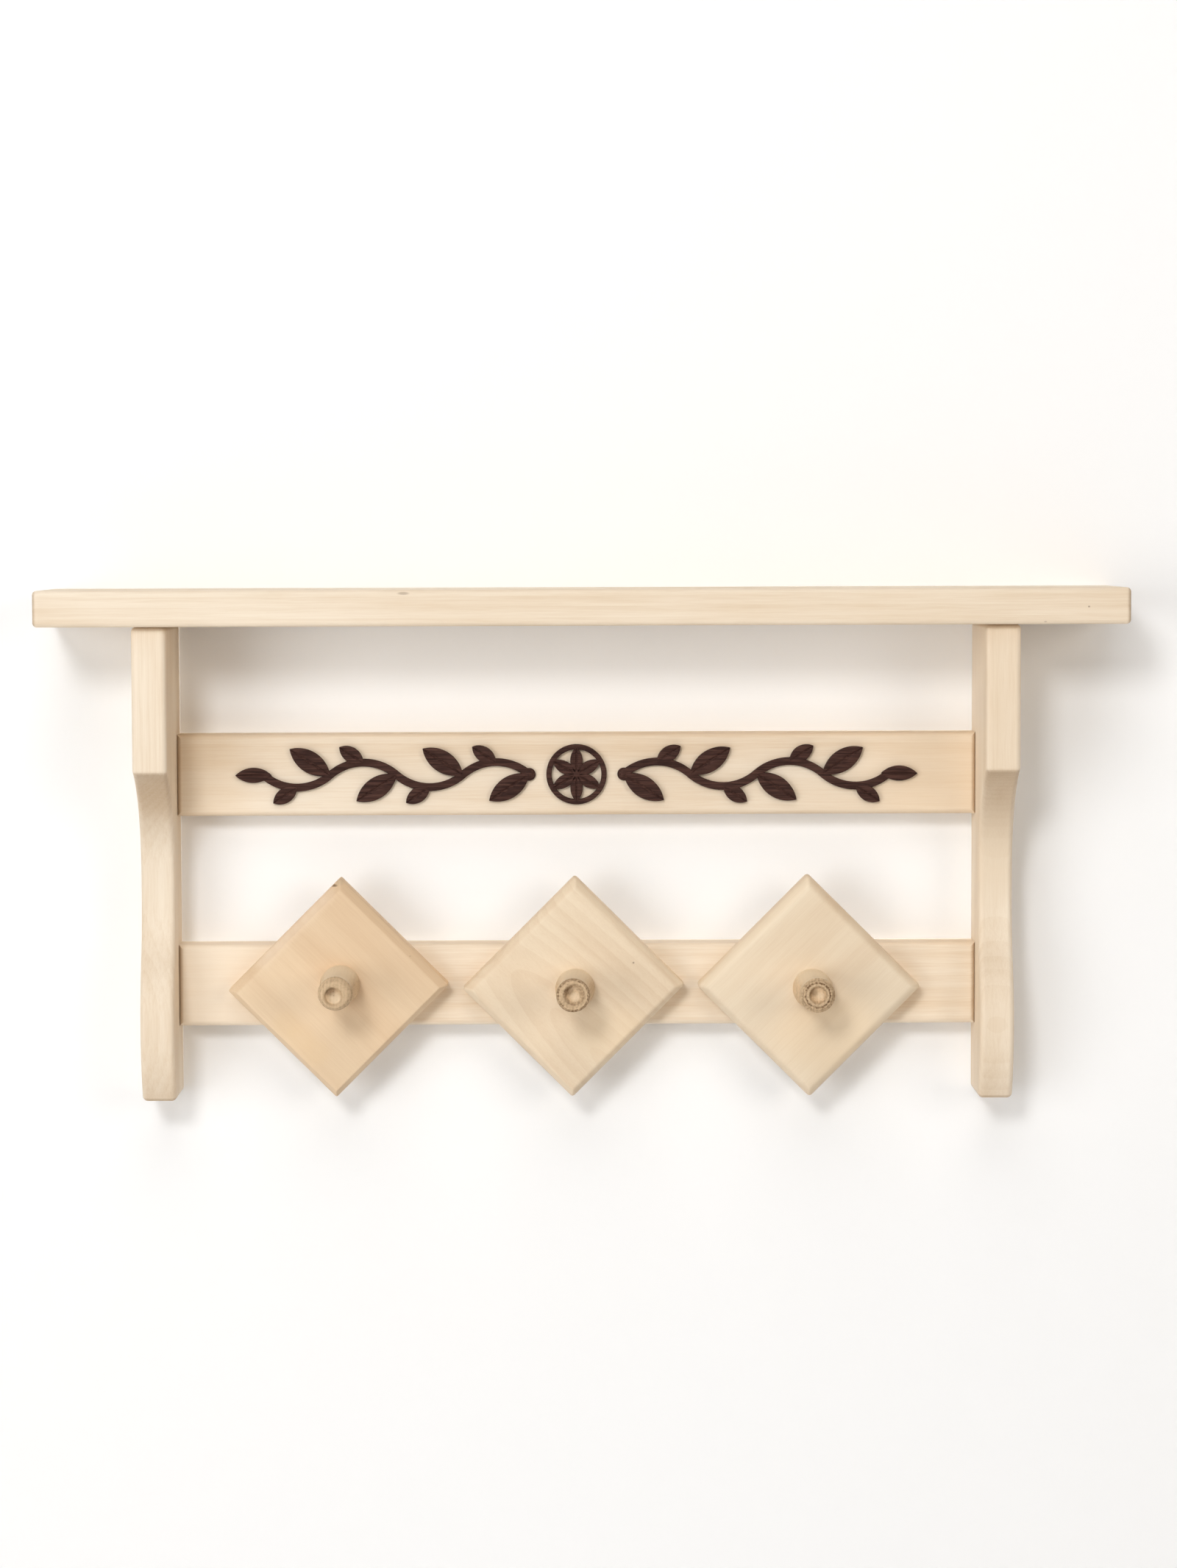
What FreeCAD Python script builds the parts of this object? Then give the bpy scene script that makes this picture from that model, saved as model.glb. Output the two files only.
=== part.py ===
"""Wall shelf with three turned pegs, in pale planed wood.

A top board rests on two shaped brackets. Two rails are butted between the brackets and doweled to them.
Three square plates, turned on their corners, are screwed to the lower rail, and a turned peg is glued through
each of them. Dark fretwork, a rosette between two leaf vines, is glued to the upper rail. Keyhole hanger
plates in the brackets' back edges carry the shelf on two wall screws.

Millimetres. X runs to the right along the wall, Y into the wall, Z up. The wall is the plane Y = 0, and the
origin lies midway between the entry holes of the two keyholes.
"""

import FreeCAD
import Part
import Sketcher

import math
import os
import re

SIZES = {
    # shelf board
    "shelf_length": 600.0,
    "shelf_depth": 86.0,
    "shelf_thickness": 20.0,
    "shelf_edge_radius": 2.5,
    "shelf_overhang": 55.8,
    "shelf_shift": 3.2,
    # rails
    "rail_height": 46.0,
    "rail_thickness": 21.0,
    "rail_edge_radius": 3.0,
    "upper_rail_drop": 62.0,
    "rail_gap": 73.0,
    # brackets, seen from the side
    "bracket_thickness": 19.2,
    "bracket_depth": 76.5,
    "bracket_front_height": 81.0,
    "waist_depth": 36.2,
    "waist_rise": 40.0,
    "waist_length": 12.0,
    "foot_depth": 50.0,
    "foot_drop": 40.0,
    "swell_rise": 42.0,
    "swell_radius": 95.0,
    "bracket_edge_radius": 3.0,
    # peg plates, cut from one board to three lengths
    "plate_width": 89.5,
    "left_plate_length": 85.5,
    "centre_plate_length": 87.0,
    "right_plate_length": 88.5,
    "plate_thickness": 18.0,
    "plate_bevel": 3.8,
    "plate_bevel_depth": 3.0,
    "plate_edge_radius": 0.9,
    "plate_gap": 7.4,
    "plate_margin": 12.0,
    "plate_shift": 2.0,
    # turned pegs
    "peg_length": 46.0,
    "peg_base_radius": 10.8,
    "peg_shoulder_radius": 10.1,
    "peg_shoulder_length": 17.0,
    "peg_barrel_radius": 70.0,
    "peg_hollow_radius": 46.0,
    "peg_head_length": 7.5,
    "peg_head_radius": 9.4,
    "peg_rim_length": 2.6,
    "peg_face_radius": 8.5,
    "peg_dish_radius": 5.2,
    "peg_dish_floor_radius": 3.0,
    "peg_dish_depth": 3.4,
    "spigot_radius": 6.0,
    "spigot_depth": 12.0,
    # how far two pegs stand off their regular places, as their holes are bored by hand
    "left_peg_shift": 0.7,
    "left_peg_rise": 2.3,
    "centre_peg_shift": 1.7,
    "centre_peg_rise": 0.5,
    # hidden joinery
    "joint_fit": 0.1,
    "hole_relief": 0.5,
    "dowel_radius": 4.0,
    "rail_dowel_spacing": 22.0,
    "rail_dowel_depth": 24.0,
    "bracket_dowel_depth": 12.0,
    "shelf_dowel_setback": 22.0,
    "shelf_dowel_spacing": 36.0,
    "shelf_dowel_rise": 12.0,
    "shelf_dowel_drop": 18.0,
    # screws through the lower rail into the plates
    "plate_screw_spacing": 44.0,
    "plate_screw_radius": 1.75,
    "plate_screw_head_radius": 3.5,
    "plate_screw_head_height": 1.9,
    "plate_screw_bite": 11.0,
    # keyhole hangers
    "hanger_drop": 44.0,
    "hanger_width": 14.0,
    "hanger_plate_thickness": 1.5,
    "keyhole_entry_radius": 4.5,
    "keyhole_slot_radius": 2.3,
    "keyhole_rise": 13.0,
    "keyhole_pocket_depth": 9.0,
    "keyhole_pocket_margin": 0.6,
    "hanger_screw_above": 12.5,
    "hanger_screw_below": 12.5,
    "hanger_screw_radius": 1.5,
    "hanger_screw_head_radius": 3.0,
    "hanger_screw_head_height": 1.4,
    "hanger_screw_length": 12.0,
    # fretwork
    "fretwork_thickness": 3.0,
    "rosette_radius": 17.0,
    "rosette_ring_width": 3.0,
    "petal_width": 7.0,
    "vine_gap": 6.0,
    "vine_end_margin": 33.0,
    "vine_wave_rise": 7.0,
    "stem_width": 4.4,
    "leaf_length": 27.0,
    "leaf_width": 12.0,
    "leaf_slant": 33.0,
    "bud_length": 16.0,
    "bud_width": 8.5,
    "berry_radius": 3.6,
}

PETAL_COUNT = 6
VINE_WAVES = 4
SIDES = ("left", "right")
HAND_BORED = {
    "left": ("-left_peg_shift", "left_peg_rise"),
    "centre": ("-centre_peg_shift", "centre_peg_rise"),
}

# Formulas of the sizes. The entry holes of the keyholes lie at Z = 0.
RAIL_LENGTH = "(shelf_length - 2 * shelf_overhang - 2 * bracket_thickness)"
BRACKET_MIDDLE = "(shelf_length / 2 - shelf_overhang - bracket_thickness / 2)"
SHELF_UNDERSIDE = "hanger_drop"
UPPER_RAIL_BOTTOM = "(hanger_drop - upper_rail_drop - rail_height)"
LOWER_RAIL_BOTTOM = f"({UPPER_RAIL_BOTTOM} - rail_gap - rail_height)"
WAIST_HEIGHT = f"({LOWER_RAIL_BOTTOM} + rail_height + waist_rise)"
FOOT_BOTTOM = f"({LOWER_RAIL_BOTTOM} - foot_drop)"
SWELL_HEIGHT = f"({FOOT_BOTTOM} + swell_rise)"
PEG_HEIGHT = f"({LOWER_RAIL_BOTTOM} + rail_height / 2)"
PEG_PITCH = "((plate_width + centre_plate_length) / sqrt(2) + plate_gap)"
PLATE_FRONT = "(rail_thickness + plate_thickness)"

ALONG_X = FreeCAD.Rotation(FreeCAD.Vector(0, 1, 0), 90)
ALONG_Y = FreeCAD.Rotation(FreeCAD.Vector(1, 0, 0), -90)
UPRIGHT = FreeCAD.Rotation()
ON_THE_CORNER = 45
NEAR = 0.01

doc = FreeCAD.newDocument("wall_shelf")
sizes = doc.addObject("Spreadsheet::Sheet", "sizes")
for row, (alias, number) in enumerate(SIZES.items(), start=1):
    sizes.set(f"A{row}", alias)
    sizes.set(f"B{row}", str(number))
    sizes.setAlias(f"B{row}", alias)
doc.recompute()

sub_parts = []


def with_sizes(formula, write):
    """A formula in which each size's name is written anew by write(name)."""
    return re.sub(r"[a-z_]+", lambda word: write(word[0]) if word[0] in SIZES else word[0], formula)


def linked(formula):
    """The formula with each size's name turned into a reference to its cell."""
    return with_sizes(formula, lambda name: f"sizes.{name}")


def value(formula):
    """The number that a formula of sizes comes to."""
    return FreeCAD.Units.Quantity(with_sizes(formula, lambda name: f"({sizes.get(name)})")).Value


def bind(thing, formulas):
    """Tie properties of an object to formulas of sizes."""
    for name, formula in formulas.items():
        thing.setExpression(name, linked(formula))


def place(thing, x, y, z, rotation=UPRIGHT):
    """Turn an object and tie its position to formulas of sizes."""
    thing.Placement = FreeCAD.Placement(FreeCAD.Vector(value(x), value(y), value(z)), rotation)
    bind(thing, {"Placement.Base.x": x, "Placement.Base.y": y, "Placement.Base.z": z})


def named(thing, label):
    """Keep a finished sub-part under its own label."""
    thing.Label = label
    sub_parts.append(thing)
    return thing


def new_body(label):
    return named(doc.addObject("PartDesign::Body", label), label)


def new_group(label, solids):
    """Several equal loose solids under one label."""
    group = named(doc.addObject("Part::Compound", label), label)
    group.Links = solids


def add_box(body, kind, name, lengths, corner):
    """A box feature of a body: its lengths along X, Y and Z from its lowest corner."""
    box = body.newObject(f"PartDesign::{kind}Box", name)
    bind(box, {"Length": lengths[0], "Width": lengths[1], "Height": lengths[2]})
    place(box, *corner)


def add_cylinder(body, kind, name, radius, height, foot, rotation):
    """A cylinder feature of a body, from the middle of its foot along the turned Z axis."""
    cylinder = body.newObject(f"PartDesign::{kind}Cylinder", name)
    bind(cylinder, {"Radius": radius, "Height": height})
    place(cylinder, *foot, rotation)


def add_countersink(body, name, radius, head_radius, head_height, x, z):
    """A conical seat for a screw's head, open at the wall line."""
    cone = body.newObject("PartDesign::SubtractiveCone", name)
    bind(cone, {
        "Radius1": f"{radius} + joint_fit",
        "Radius2": f"{head_radius} + joint_fit",
        "Height": head_height,
    })
    place(cone, x, f"-{head_height}", z, ALONG_Y)


def add_slot(body, kind, name, radius, depth, x, low, high):
    """A straight slot with round ends from the wall line forwards, between two heights of its end centres."""
    foot_y = f"-({depth})"
    add_box(body, kind, f"{name}_middle", (f"2 * ({radius})", depth, f"{high} - ({low})"),
            (f"{x} - ({radius})", foot_y, low))
    for end, z in (("low", low), ("high", high)):
        add_cylinder(body, kind, f"{name}_{end}", radius, depth, (x, foot_y, z), ALONG_Y)


def lies_at(edge, axis, position):
    """Whether both ends of an edge have this coordinate."""
    return all(abs(getattr(vertex, axis) - position) < NEAR for vertex in edge.Vertexes)


def edge_names(shape, chosen):
    return [f"Edge{i}" for i, edge in enumerate(shape.Edges, start=1) if chosen(edge)]


def round_edges(body, name, radius, chosen):
    """Round the edges of a body's last feature for which chosen(edge) holds."""
    doc.recompute()
    base = body.Tip
    fillet = body.newObject("PartDesign::Fillet", name)
    fillet.Base = (base, edge_names(base.Shape, chosen))
    bind(fillet, {"Radius": radius})


def new_sketch(body, name, plane_role):
    """A sketch on one of the body's own origin planes."""
    sketch = body.newObject("Sketcher::SketchObject", name)
    plane = next(feature for feature in body.Origin.OriginFeatures if feature.Role == plane_role)
    sketch.AttachmentSupport = [(plane, "")]
    sketch.MapMode = "FlatFace"
    return sketch


def constrain(sketch, kind, *arguments, formula=None):
    """Add a constraint, with its measure tied to a formula where one is given."""
    if formula is None:
        sketch.addConstraint(Sketcher.Constraint(kind, *arguments))
        return
    index = sketch.addConstraint(Sketcher.Constraint(kind, *arguments, value(formula)))
    sketch.setExpression(f"Constraints[{index}]", linked(formula))


def pin(sketch, curve, end, kind, formula):
    """Hold a curve's end at a signed distance, along X or Y, from the sketch's origin."""
    axis_line = -2 if kind == "DistanceX" else -1
    if abs(value(formula)) < NEAR:
        constrain(sketch, "PointOnObject", curve, end, axis_line)
    elif value(formula) > 0:
        constrain(sketch, kind, -1, 1, curve, end, formula=formula)
    else:
        constrain(sketch, kind, curve, end, -1, 1, formula=f"-({formula})")


def arc_about(centre, radius, first, last):
    """The anticlockwise arc of a circle between two of its points."""
    angles = [math.atan2(point.y - centre.y, point.x - centre.x) for point in (first, last)]
    return Part.ArcOfCircle(Part.Circle(centre, FreeCAD.Vector(0, 0, 1), radius), *angles)


def draw_outline(sketch, corners, arcs):
    """A closed outline through corners given as formulas.

    arcs maps a corner's number to the radius and turn of the short arc that leaves it: a turn of 1 is
    anticlockwise, and of -1 clockwise. All other corners are joined by straight lines.
    """
    points = [FreeCAD.Vector(value(x), value(y), 0) for x, y in corners]
    ends = []
    for i, start in enumerate(points):
        end = points[(i + 1) % len(points)]
        if i not in arcs:
            ends.append((sketch.addGeometry(Part.LineSegment(start, end)), 1, 2))
            continue
        radius, turn = arcs[i]
        chord = end - start
        height = math.sqrt(value(radius) ** 2 - (chord.Length / 2) ** 2)
        centre = (start + end) / 2 + FreeCAD.Vector(-chord.y, chord.x, 0).normalize() * height * turn
        first, last = (start, end) if turn > 0 else (end, start)
        curve = sketch.addGeometry(arc_about(centre, value(radius), first, last))
        constrain(sketch, "Radius", curve, formula=radius)
        ends.append((curve, 1, 2) if turn > 0 else (curve, 2, 1))
    for i, (curve, start, _) in enumerate(ends):
        before, _, finish = ends[i - 1]
        constrain(sketch, "Coincident", before, finish, curve, start)
        pin(sketch, curve, start, "DistanceX", corners[i][0])
        pin(sketch, curve, start, "DistanceY", corners[i][1])


def bracket_x(side):
    """The formula of X at the middle of a bracket's thickness."""
    return f"-{BRACKET_MIDDLE}" if side == "left" else BRACKET_MIDDLE


def shelf_dowel_depths():
    """Name and formula of Y for the two dowels in a bracket's top end."""
    return ("back", "-shelf_dowel_setback"), ("front", "-shelf_dowel_setback - shelf_dowel_spacing")


def rail_dowel_levels(rail_bottom):
    """Name and formula of Z for the two dowels in a rail's end."""
    middle = f"{rail_bottom} + rail_height / 2"
    return ("low", f"{middle} - rail_dowel_spacing / 2"), ("high", f"{middle} + rail_dowel_spacing / 2")


def hanger_screw_levels():
    """The formulas of Z for a hanger plate's lower and upper screw."""
    return "-hanger_screw_below", "keyhole_rise + hanger_screw_above"


def peg_places():
    """Each peg's name, and its place in pitches from the rail's middle.

    The rail takes as many plates as fit between the brackets with the least margin at both ends.
    """
    count = int(value(f"({RAIL_LENGTH} - 2 * plate_margin + plate_gap) / {PEG_PITCH}"))
    between = ["centre"] if count == 3 else [f"centre_{i}" for i in range(1, count - 1)]
    names = ["left", *between, "right"]
    return {name: i - (len(names) - 1) / 2 for i, name in enumerate(names)}


def peg_x(name):
    """The formula of a peg's regular place along the rail."""
    return f"{peg_places()[name]} * {PEG_PITCH}"


def peg_offset(name):
    """The formulas of how far a peg's axis lies from its regular place, along the rail and upwards."""
    return HAND_BORED.get(name, ("0", "0"))


def peg_axis(name):
    """The formulas of X and Z of a peg's axis."""
    shift, rise = peg_offset(name)
    return f"{peg_x(name)} + ({shift})", f"{PEG_HEIGHT} + ({rise})"


def plate_screw_offsets():
    """Name and formula of the distance, along the rail, of a plate's two screws from its peg."""
    return ("left", "-plate_screw_spacing / 2"), ("right", "plate_screw_spacing / 2")


def make_shelf_board():
    """The top board: all its edges rounded, with blind dowel holes from below over each bracket."""
    board = new_body("shelf_board")
    add_box(board, "Additive", "shelf_plank", ("shelf_length", "shelf_depth", "shelf_thickness"),
            ("shelf_shift - shelf_length / 2", "-shelf_depth", SHELF_UNDERSIDE))
    round_edges(board, "shelf_rounding", "shelf_edge_radius", lambda edge: True)
    for side in SIDES:
        for depth, y in shelf_dowel_depths():
            add_cylinder(board, "Subtractive", f"shelf_{side}_{depth}_hole", "dowel_radius + joint_fit",
                         "shelf_dowel_rise + hole_relief", (bracket_x(side), y, SHELF_UNDERSIDE), UPRIGHT)


def draw_bracket_profile(sketch):
    """The side view of a bracket, from the wall line forwards (negative sketch X).

    Below the straight front a hollow cove runs from the lip back to the short upright waist. From there a
    second hollow, the sweep, leads out again into the round swell of the foot. The cove passes through the
    lip, and the sweep touches the swell, so the radii of both hollows follow from the other sizes.
    """
    top = value(SHELF_UNDERSIDE)
    bottom = value(FOOT_BOTTOM)
    front = -value("bracket_depth")
    swell_radius = value("swell_radius")
    lip = FreeCAD.Vector(front, top - value("bracket_front_height"), 0)
    waist_top = FreeCAD.Vector(-value("waist_depth"), value(WAIST_HEIGHT), 0)
    waist_bottom = waist_top - FreeCAD.Vector(0, value("waist_length"), 0)

    # Both hollows are upright at the waist, so their centres lie level with its ends.
    reach = lip - waist_top
    cove_radius = reach.Length ** 2 / (-2 * reach.x)
    cove_centre = waist_top - FreeCAD.Vector(cove_radius, 0, 0)
    swell_centre = FreeCAD.Vector(swell_radius - value("foot_depth"), value(SWELL_HEIGHT), 0)
    away = swell_centre - waist_bottom
    sweep_radius = (away.Length ** 2 - swell_radius ** 2) / (2 * (swell_radius - away.x))
    sweep_centre = waist_bottom - FreeCAD.Vector(sweep_radius, 0, 0)
    sweep_end = sweep_centre + (swell_centre - sweep_centre).normalize() * sweep_radius
    behind_swell = math.sqrt(swell_radius ** 2 - (swell_centre.y - bottom) ** 2)
    swell_end = FreeCAD.Vector(swell_centre.x - behind_swell, bottom, 0)

    def line(first, last):
        return sketch.addGeometry(Part.LineSegment(first, last))

    def arc(centre, radius, first, last):
        return sketch.addGeometry(arc_about(centre, radius, first, last))

    wall_top = FreeCAD.Vector(0, top, 0)
    wall_bottom = FreeCAD.Vector(0, bottom, 0)
    front_top = FreeCAD.Vector(front, top, 0)
    wall = line(wall_bottom, wall_top)
    top_edge = line(wall_top, front_top)
    front_edge = line(front_top, lip)
    cove = arc(cove_centre, cove_radius, waist_top, lip)
    waist = line(waist_top, waist_bottom)
    sweep = arc(sweep_centre, sweep_radius, sweep_end, waist_bottom)
    swell = arc(swell_centre, swell_radius, sweep_end, swell_end)
    bottom_edge = line(swell_end, wall_bottom)

    constrain(sketch, "Coincident", wall, 2, top_edge, 1)
    constrain(sketch, "Coincident", top_edge, 2, front_edge, 1)
    constrain(sketch, "Coincident", front_edge, 2, cove, 2)
    constrain(sketch, "Tangent", cove, 1, waist, 1)
    constrain(sketch, "Tangent", waist, 2, sweep, 2)
    constrain(sketch, "Tangent", sweep, 1, swell, 1)
    constrain(sketch, "Coincident", swell, 2, bottom_edge, 1)
    constrain(sketch, "Coincident", bottom_edge, 2, wall, 1)
    constrain(sketch, "Horizontal", top_edge)
    constrain(sketch, "Horizontal", bottom_edge)
    constrain(sketch, "Vertical", front_edge)
    constrain(sketch, "Vertical", waist)
    constrain(sketch, "PointOnObject", wall, 1, -2)
    constrain(sketch, "PointOnObject", wall, 2, -2)
    pin(sketch, wall, 2, "DistanceY", SHELF_UNDERSIDE)
    pin(sketch, wall, 1, "DistanceY", FOOT_BOTTOM)
    pin(sketch, front_edge, 1, "DistanceX", "-bracket_depth")
    pin(sketch, front_edge, 2, "DistanceY", f"{SHELF_UNDERSIDE} - bracket_front_height")
    pin(sketch, waist, 1, "DistanceX", "-waist_depth")
    pin(sketch, waist, 1, "DistanceY", WAIST_HEIGHT)
    constrain(sketch, "Distance", waist, formula="waist_length")
    pin(sketch, swell, 3, "DistanceX", "swell_radius - foot_depth")
    pin(sketch, swell, 3, "DistanceY", SWELL_HEIGHT)
    constrain(sketch, "Radius", swell, formula="swell_radius")


def make_bracket(side):
    """A shaped bracket with its dowel holes and, in the back edge, the seat of its hanger plate.

    All its edges are rounded but the lip, where the front turns into the cove, and those at the wall.
    """
    top = value(SHELF_UNDERSIDE)
    lip = top - value("bracket_front_height")
    sides = (0, value("bracket_thickness"))

    def above_lip(edge):
        at_front = lies_at(edge, "Y", -value("bracket_depth")) and not lies_at(edge, "Z", lip)
        at_top = lies_at(edge, "Z", top) and not lies_at(edge, "Y", 0)
        return at_front or at_top

    def below_lip(edge):
        on_side = any(lies_at(edge, "X", side_x) for side_x in sides) and edge.BoundBox.ZMax < lip
        at_bottom = lies_at(edge, "Z", value(FOOT_BOTTOM))
        return (on_side or at_bottom) and not lies_at(edge, "Y", 0)

    body = new_body(f"{side}_bracket")
    sketch = new_sketch(body, f"{side}_bracket_profile", "YZ_Plane")
    draw_bracket_profile(sketch)
    board = body.newObject("PartDesign::Pad", f"{side}_bracket_board")
    board.Profile = sketch
    bind(board, {"Length": "bracket_thickness"})
    round_edges(body, f"{side}_bracket_upper_rounding", "bracket_edge_radius", above_lip)
    round_edges(body, f"{side}_bracket_lower_rounding", "bracket_edge_radius", below_lip)

    inner_face = "bracket_thickness - bracket_dowel_depth - hole_relief" if side == "left" else "0"
    for tag, rail_bottom in (("upper", UPPER_RAIL_BOTTOM), ("lower", LOWER_RAIL_BOTTOM)):
        for level, z in rail_dowel_levels(rail_bottom):
            add_cylinder(body, "Subtractive", f"{side}_bracket_{tag}_{level}_hole",
                         "dowel_radius + joint_fit", "bracket_dowel_depth + hole_relief",
                         (inner_face, "-rail_thickness / 2", z), ALONG_X)
    middle = "bracket_thickness / 2"
    for depth, y in shelf_dowel_depths():
        add_cylinder(body, "Subtractive", f"{side}_bracket_{depth}_hole", "dowel_radius + joint_fit",
                     "shelf_dowel_drop + hole_relief",
                     (middle, y, f"{SHELF_UNDERSIDE} - shelf_dowel_drop - hole_relief"), UPRIGHT)

    add_slot(body, "Subtractive", f"{side}_hanger_seat", "hanger_width / 2 + joint_fit",
             "hanger_plate_thickness", middle, *hanger_screw_levels())
    add_slot(body, "Subtractive", f"{side}_keyhole_pocket", "keyhole_entry_radius + keyhole_pocket_margin",
             "keyhole_pocket_depth", middle, "0", "keyhole_rise")
    for i, z in enumerate(hanger_screw_levels()):
        add_cylinder(body, "Subtractive", f"{side}_hanger_pilot_{i}", "hanger_screw_radius + joint_fit",
                     "hanger_screw_length + hole_relief",
                     (middle, "-hanger_screw_length - hole_relief", z), ALONG_Y)
    place(body, f"{bracket_x(side)} - bracket_thickness / 2", "0", "0")


def make_rail(label, bottom):
    """A rail between the brackets: its front edges rounded, two blind dowel holes in each end."""
    body = new_body(label)
    add_box(body, "Additive", f"{label}_lath", (RAIL_LENGTH, "rail_thickness", "rail_height"),
            (f"-{RAIL_LENGTH} / 2", "-rail_thickness", bottom))
    front = -value("rail_thickness")
    round_edges(body, f"{label}_rounding", "rail_edge_radius", lambda edge: lies_at(edge, "Y", front))
    starts = {
        "left": f"-{RAIL_LENGTH} / 2",
        "right": f"{RAIL_LENGTH} / 2 - rail_dowel_depth - hole_relief",
    }
    for end, x in starts.items():
        for level, z in rail_dowel_levels(bottom):
            add_cylinder(body, "Subtractive", f"{label}_{end}_{level}_hole", "dowel_radius + joint_fit",
                         "rail_dowel_depth + hole_relief", (x, "-rail_thickness / 2", z), ALONG_X)
    return body


def drill_lower_rail(rail):
    """Blind holes in front for the pegs' spigots, countersunk holes from behind for the plates' screws."""
    for name in peg_places():
        axis_x, axis_z = peg_axis(name)
        add_cylinder(rail, "Subtractive", f"{name}_spigot_hole", "spigot_radius + joint_fit",
                     "spigot_depth + hole_relief", (axis_x, "-rail_thickness", axis_z), ALONG_Y)
        for side, offset in plate_screw_offsets():
            x = f"{peg_x(name)} + {offset}"
            add_cylinder(rail, "Subtractive", f"{name}_{side}_screw_hole", "plate_screw_radius + joint_fit",
                         "rail_thickness", (x, "-rail_thickness", PEG_HEIGHT), ALONG_Y)
            add_countersink(rail, f"{name}_{side}_countersink", "plate_screw_radius",
                            "plate_screw_head_radius", "plate_screw_head_height", x, PEG_HEIGHT)


def make_peg_plate(name):
    """A square plate on its corner. Its grain, along its own Z, leans left on the first two plates.

    The peg and the screws keep to their places on the rail, so their holes lie off the plate's middle.
    """
    body = new_body(f"peg_plate_{name}")
    length = f"{name.split('_')[0]}_plate_length"
    add_box(body, "Additive", f"{name}_plate_blank", ("plate_width", "plate_thickness", length),
            ("-plate_width / 2", "-plate_thickness", f"-{length} / 2"))
    doc.recompute()
    blank = body.Tip
    front = -value("plate_thickness")
    bevel = body.newObject("PartDesign::Chamfer", f"{name}_plate_bevel")
    bevel.Base = (blank, edge_names(blank.Shape, lambda edge: lies_at(edge, "Y", front)))
    bevel.ChamferType = "Two distances"
    bind(bevel, {"Size": "plate_bevel", "Size2": "plate_bevel_depth"})
    doc.recompute()
    front_face = min(bevel.Shape.Faces, key=lambda face: face.CenterOfMass.y)
    bevel.FlipDirection = abs(front_face.BoundBox.XLength - value("plate_width - 2 * plate_bevel")) > NEAR
    round_edges(body, f"{name}_plate_rounding", "plate_edge_radius", lambda edge: not lies_at(edge, "Y", 0))

    lean = 1 if name == "right" else -1
    holes = [("spigot", *peg_offset(name), "spigot_radius", "plate_thickness")]
    for side, offset in plate_screw_offsets():
        holes.append((f"{side}_screw", offset, "0", "plate_screw_radius", "plate_screw_bite + hole_relief"))
    for tag, shift, rise, radius, depth in holes:
        across = f"(plate_shift + ({shift}) - ({lean}) * ({rise})) / sqrt(2)"
        along = f"({lean} * (plate_shift + ({shift})) + ({rise})) / sqrt(2)"
        add_cylinder(body, "Subtractive", f"{name}_plate_{tag}_hole", f"{radius} + joint_fit", depth,
                     (across, f"-({depth})", along), ALONG_Y)
    turn = FreeCAD.Rotation(FreeCAD.Vector(0, 1, 0), lean * ON_THE_CORNER)
    place(body, f"{peg_x(name)} - plate_shift", "-rail_thickness", PEG_HEIGHT, turn)


def make_peg(name):
    """A turned peg: a spigot through the plate into the rail, a barrel, a hollow neck and a dished head."""
    body = new_body(f"peg_{name}")
    sketch = new_sketch(body, f"peg_{name}_profile", "XY_Plane")
    corners = [
        ("0", "plate_thickness + spigot_depth"),
        ("spigot_radius", "plate_thickness + spigot_depth"),
        ("spigot_radius", "0"),
        ("peg_base_radius", "0"),
        ("peg_shoulder_radius", "-peg_shoulder_length"),
        ("peg_head_radius", "peg_head_length - peg_length"),
        ("peg_head_radius", "peg_head_length - peg_rim_length - peg_length"),
        ("peg_face_radius", "-peg_length"),
        ("peg_dish_radius", "-peg_length"),
        ("peg_dish_floor_radius", "peg_dish_depth - peg_length"),
        ("0", "peg_dish_depth - peg_length"),
    ]
    base, shoulder = 3, 4
    draw_outline(sketch, corners, {base: ("peg_barrel_radius", -1), shoulder: ("peg_hollow_radius", 1)})
    turning = body.newObject("PartDesign::Revolution", f"peg_{name}_turning")
    turning.Profile = sketch
    turning.ReferenceAxis = (sketch, ["V_Axis"])
    turning.Angle = 360
    axis_x, axis_z = peg_axis(name)
    place(body, axis_x, f"-{PLATE_FRONT}", axis_z)


def make_dowel(name, length, foot, rotation):
    dowel = doc.addObject("Part::Cylinder", f"{name}_dowel")
    bind(dowel, {"Radius": "dowel_radius", "Height": length})
    place(dowel, *foot, rotation)
    return dowel


def make_rail_dowels(label, bottom):
    """Four dowels across the butt joints of a rail."""
    dowels = []
    starts = {
        "left": f"-{RAIL_LENGTH} / 2 - bracket_dowel_depth",
        "right": f"{RAIL_LENGTH} / 2 - rail_dowel_depth",
    }
    for end, x in starts.items():
        for level, z in rail_dowel_levels(bottom):
            dowels.append(make_dowel(f"{label}_{end}_{level}", "bracket_dowel_depth + rail_dowel_depth",
                                     (x, "-rail_thickness / 2", z), ALONG_X))
    new_group(label, dowels)


def make_shelf_dowels():
    """Four upright dowels from the brackets' top ends into the shelf board."""
    dowels = []
    for side in SIDES:
        for depth, y in shelf_dowel_depths():
            dowels.append(make_dowel(f"shelf_{side}_{depth}", "shelf_dowel_drop + shelf_dowel_rise",
                                     (bracket_x(side), y, f"{SHELF_UNDERSIDE} - shelf_dowel_drop"), UPRIGHT))
    new_group("shelf_dowels", dowels)


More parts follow.
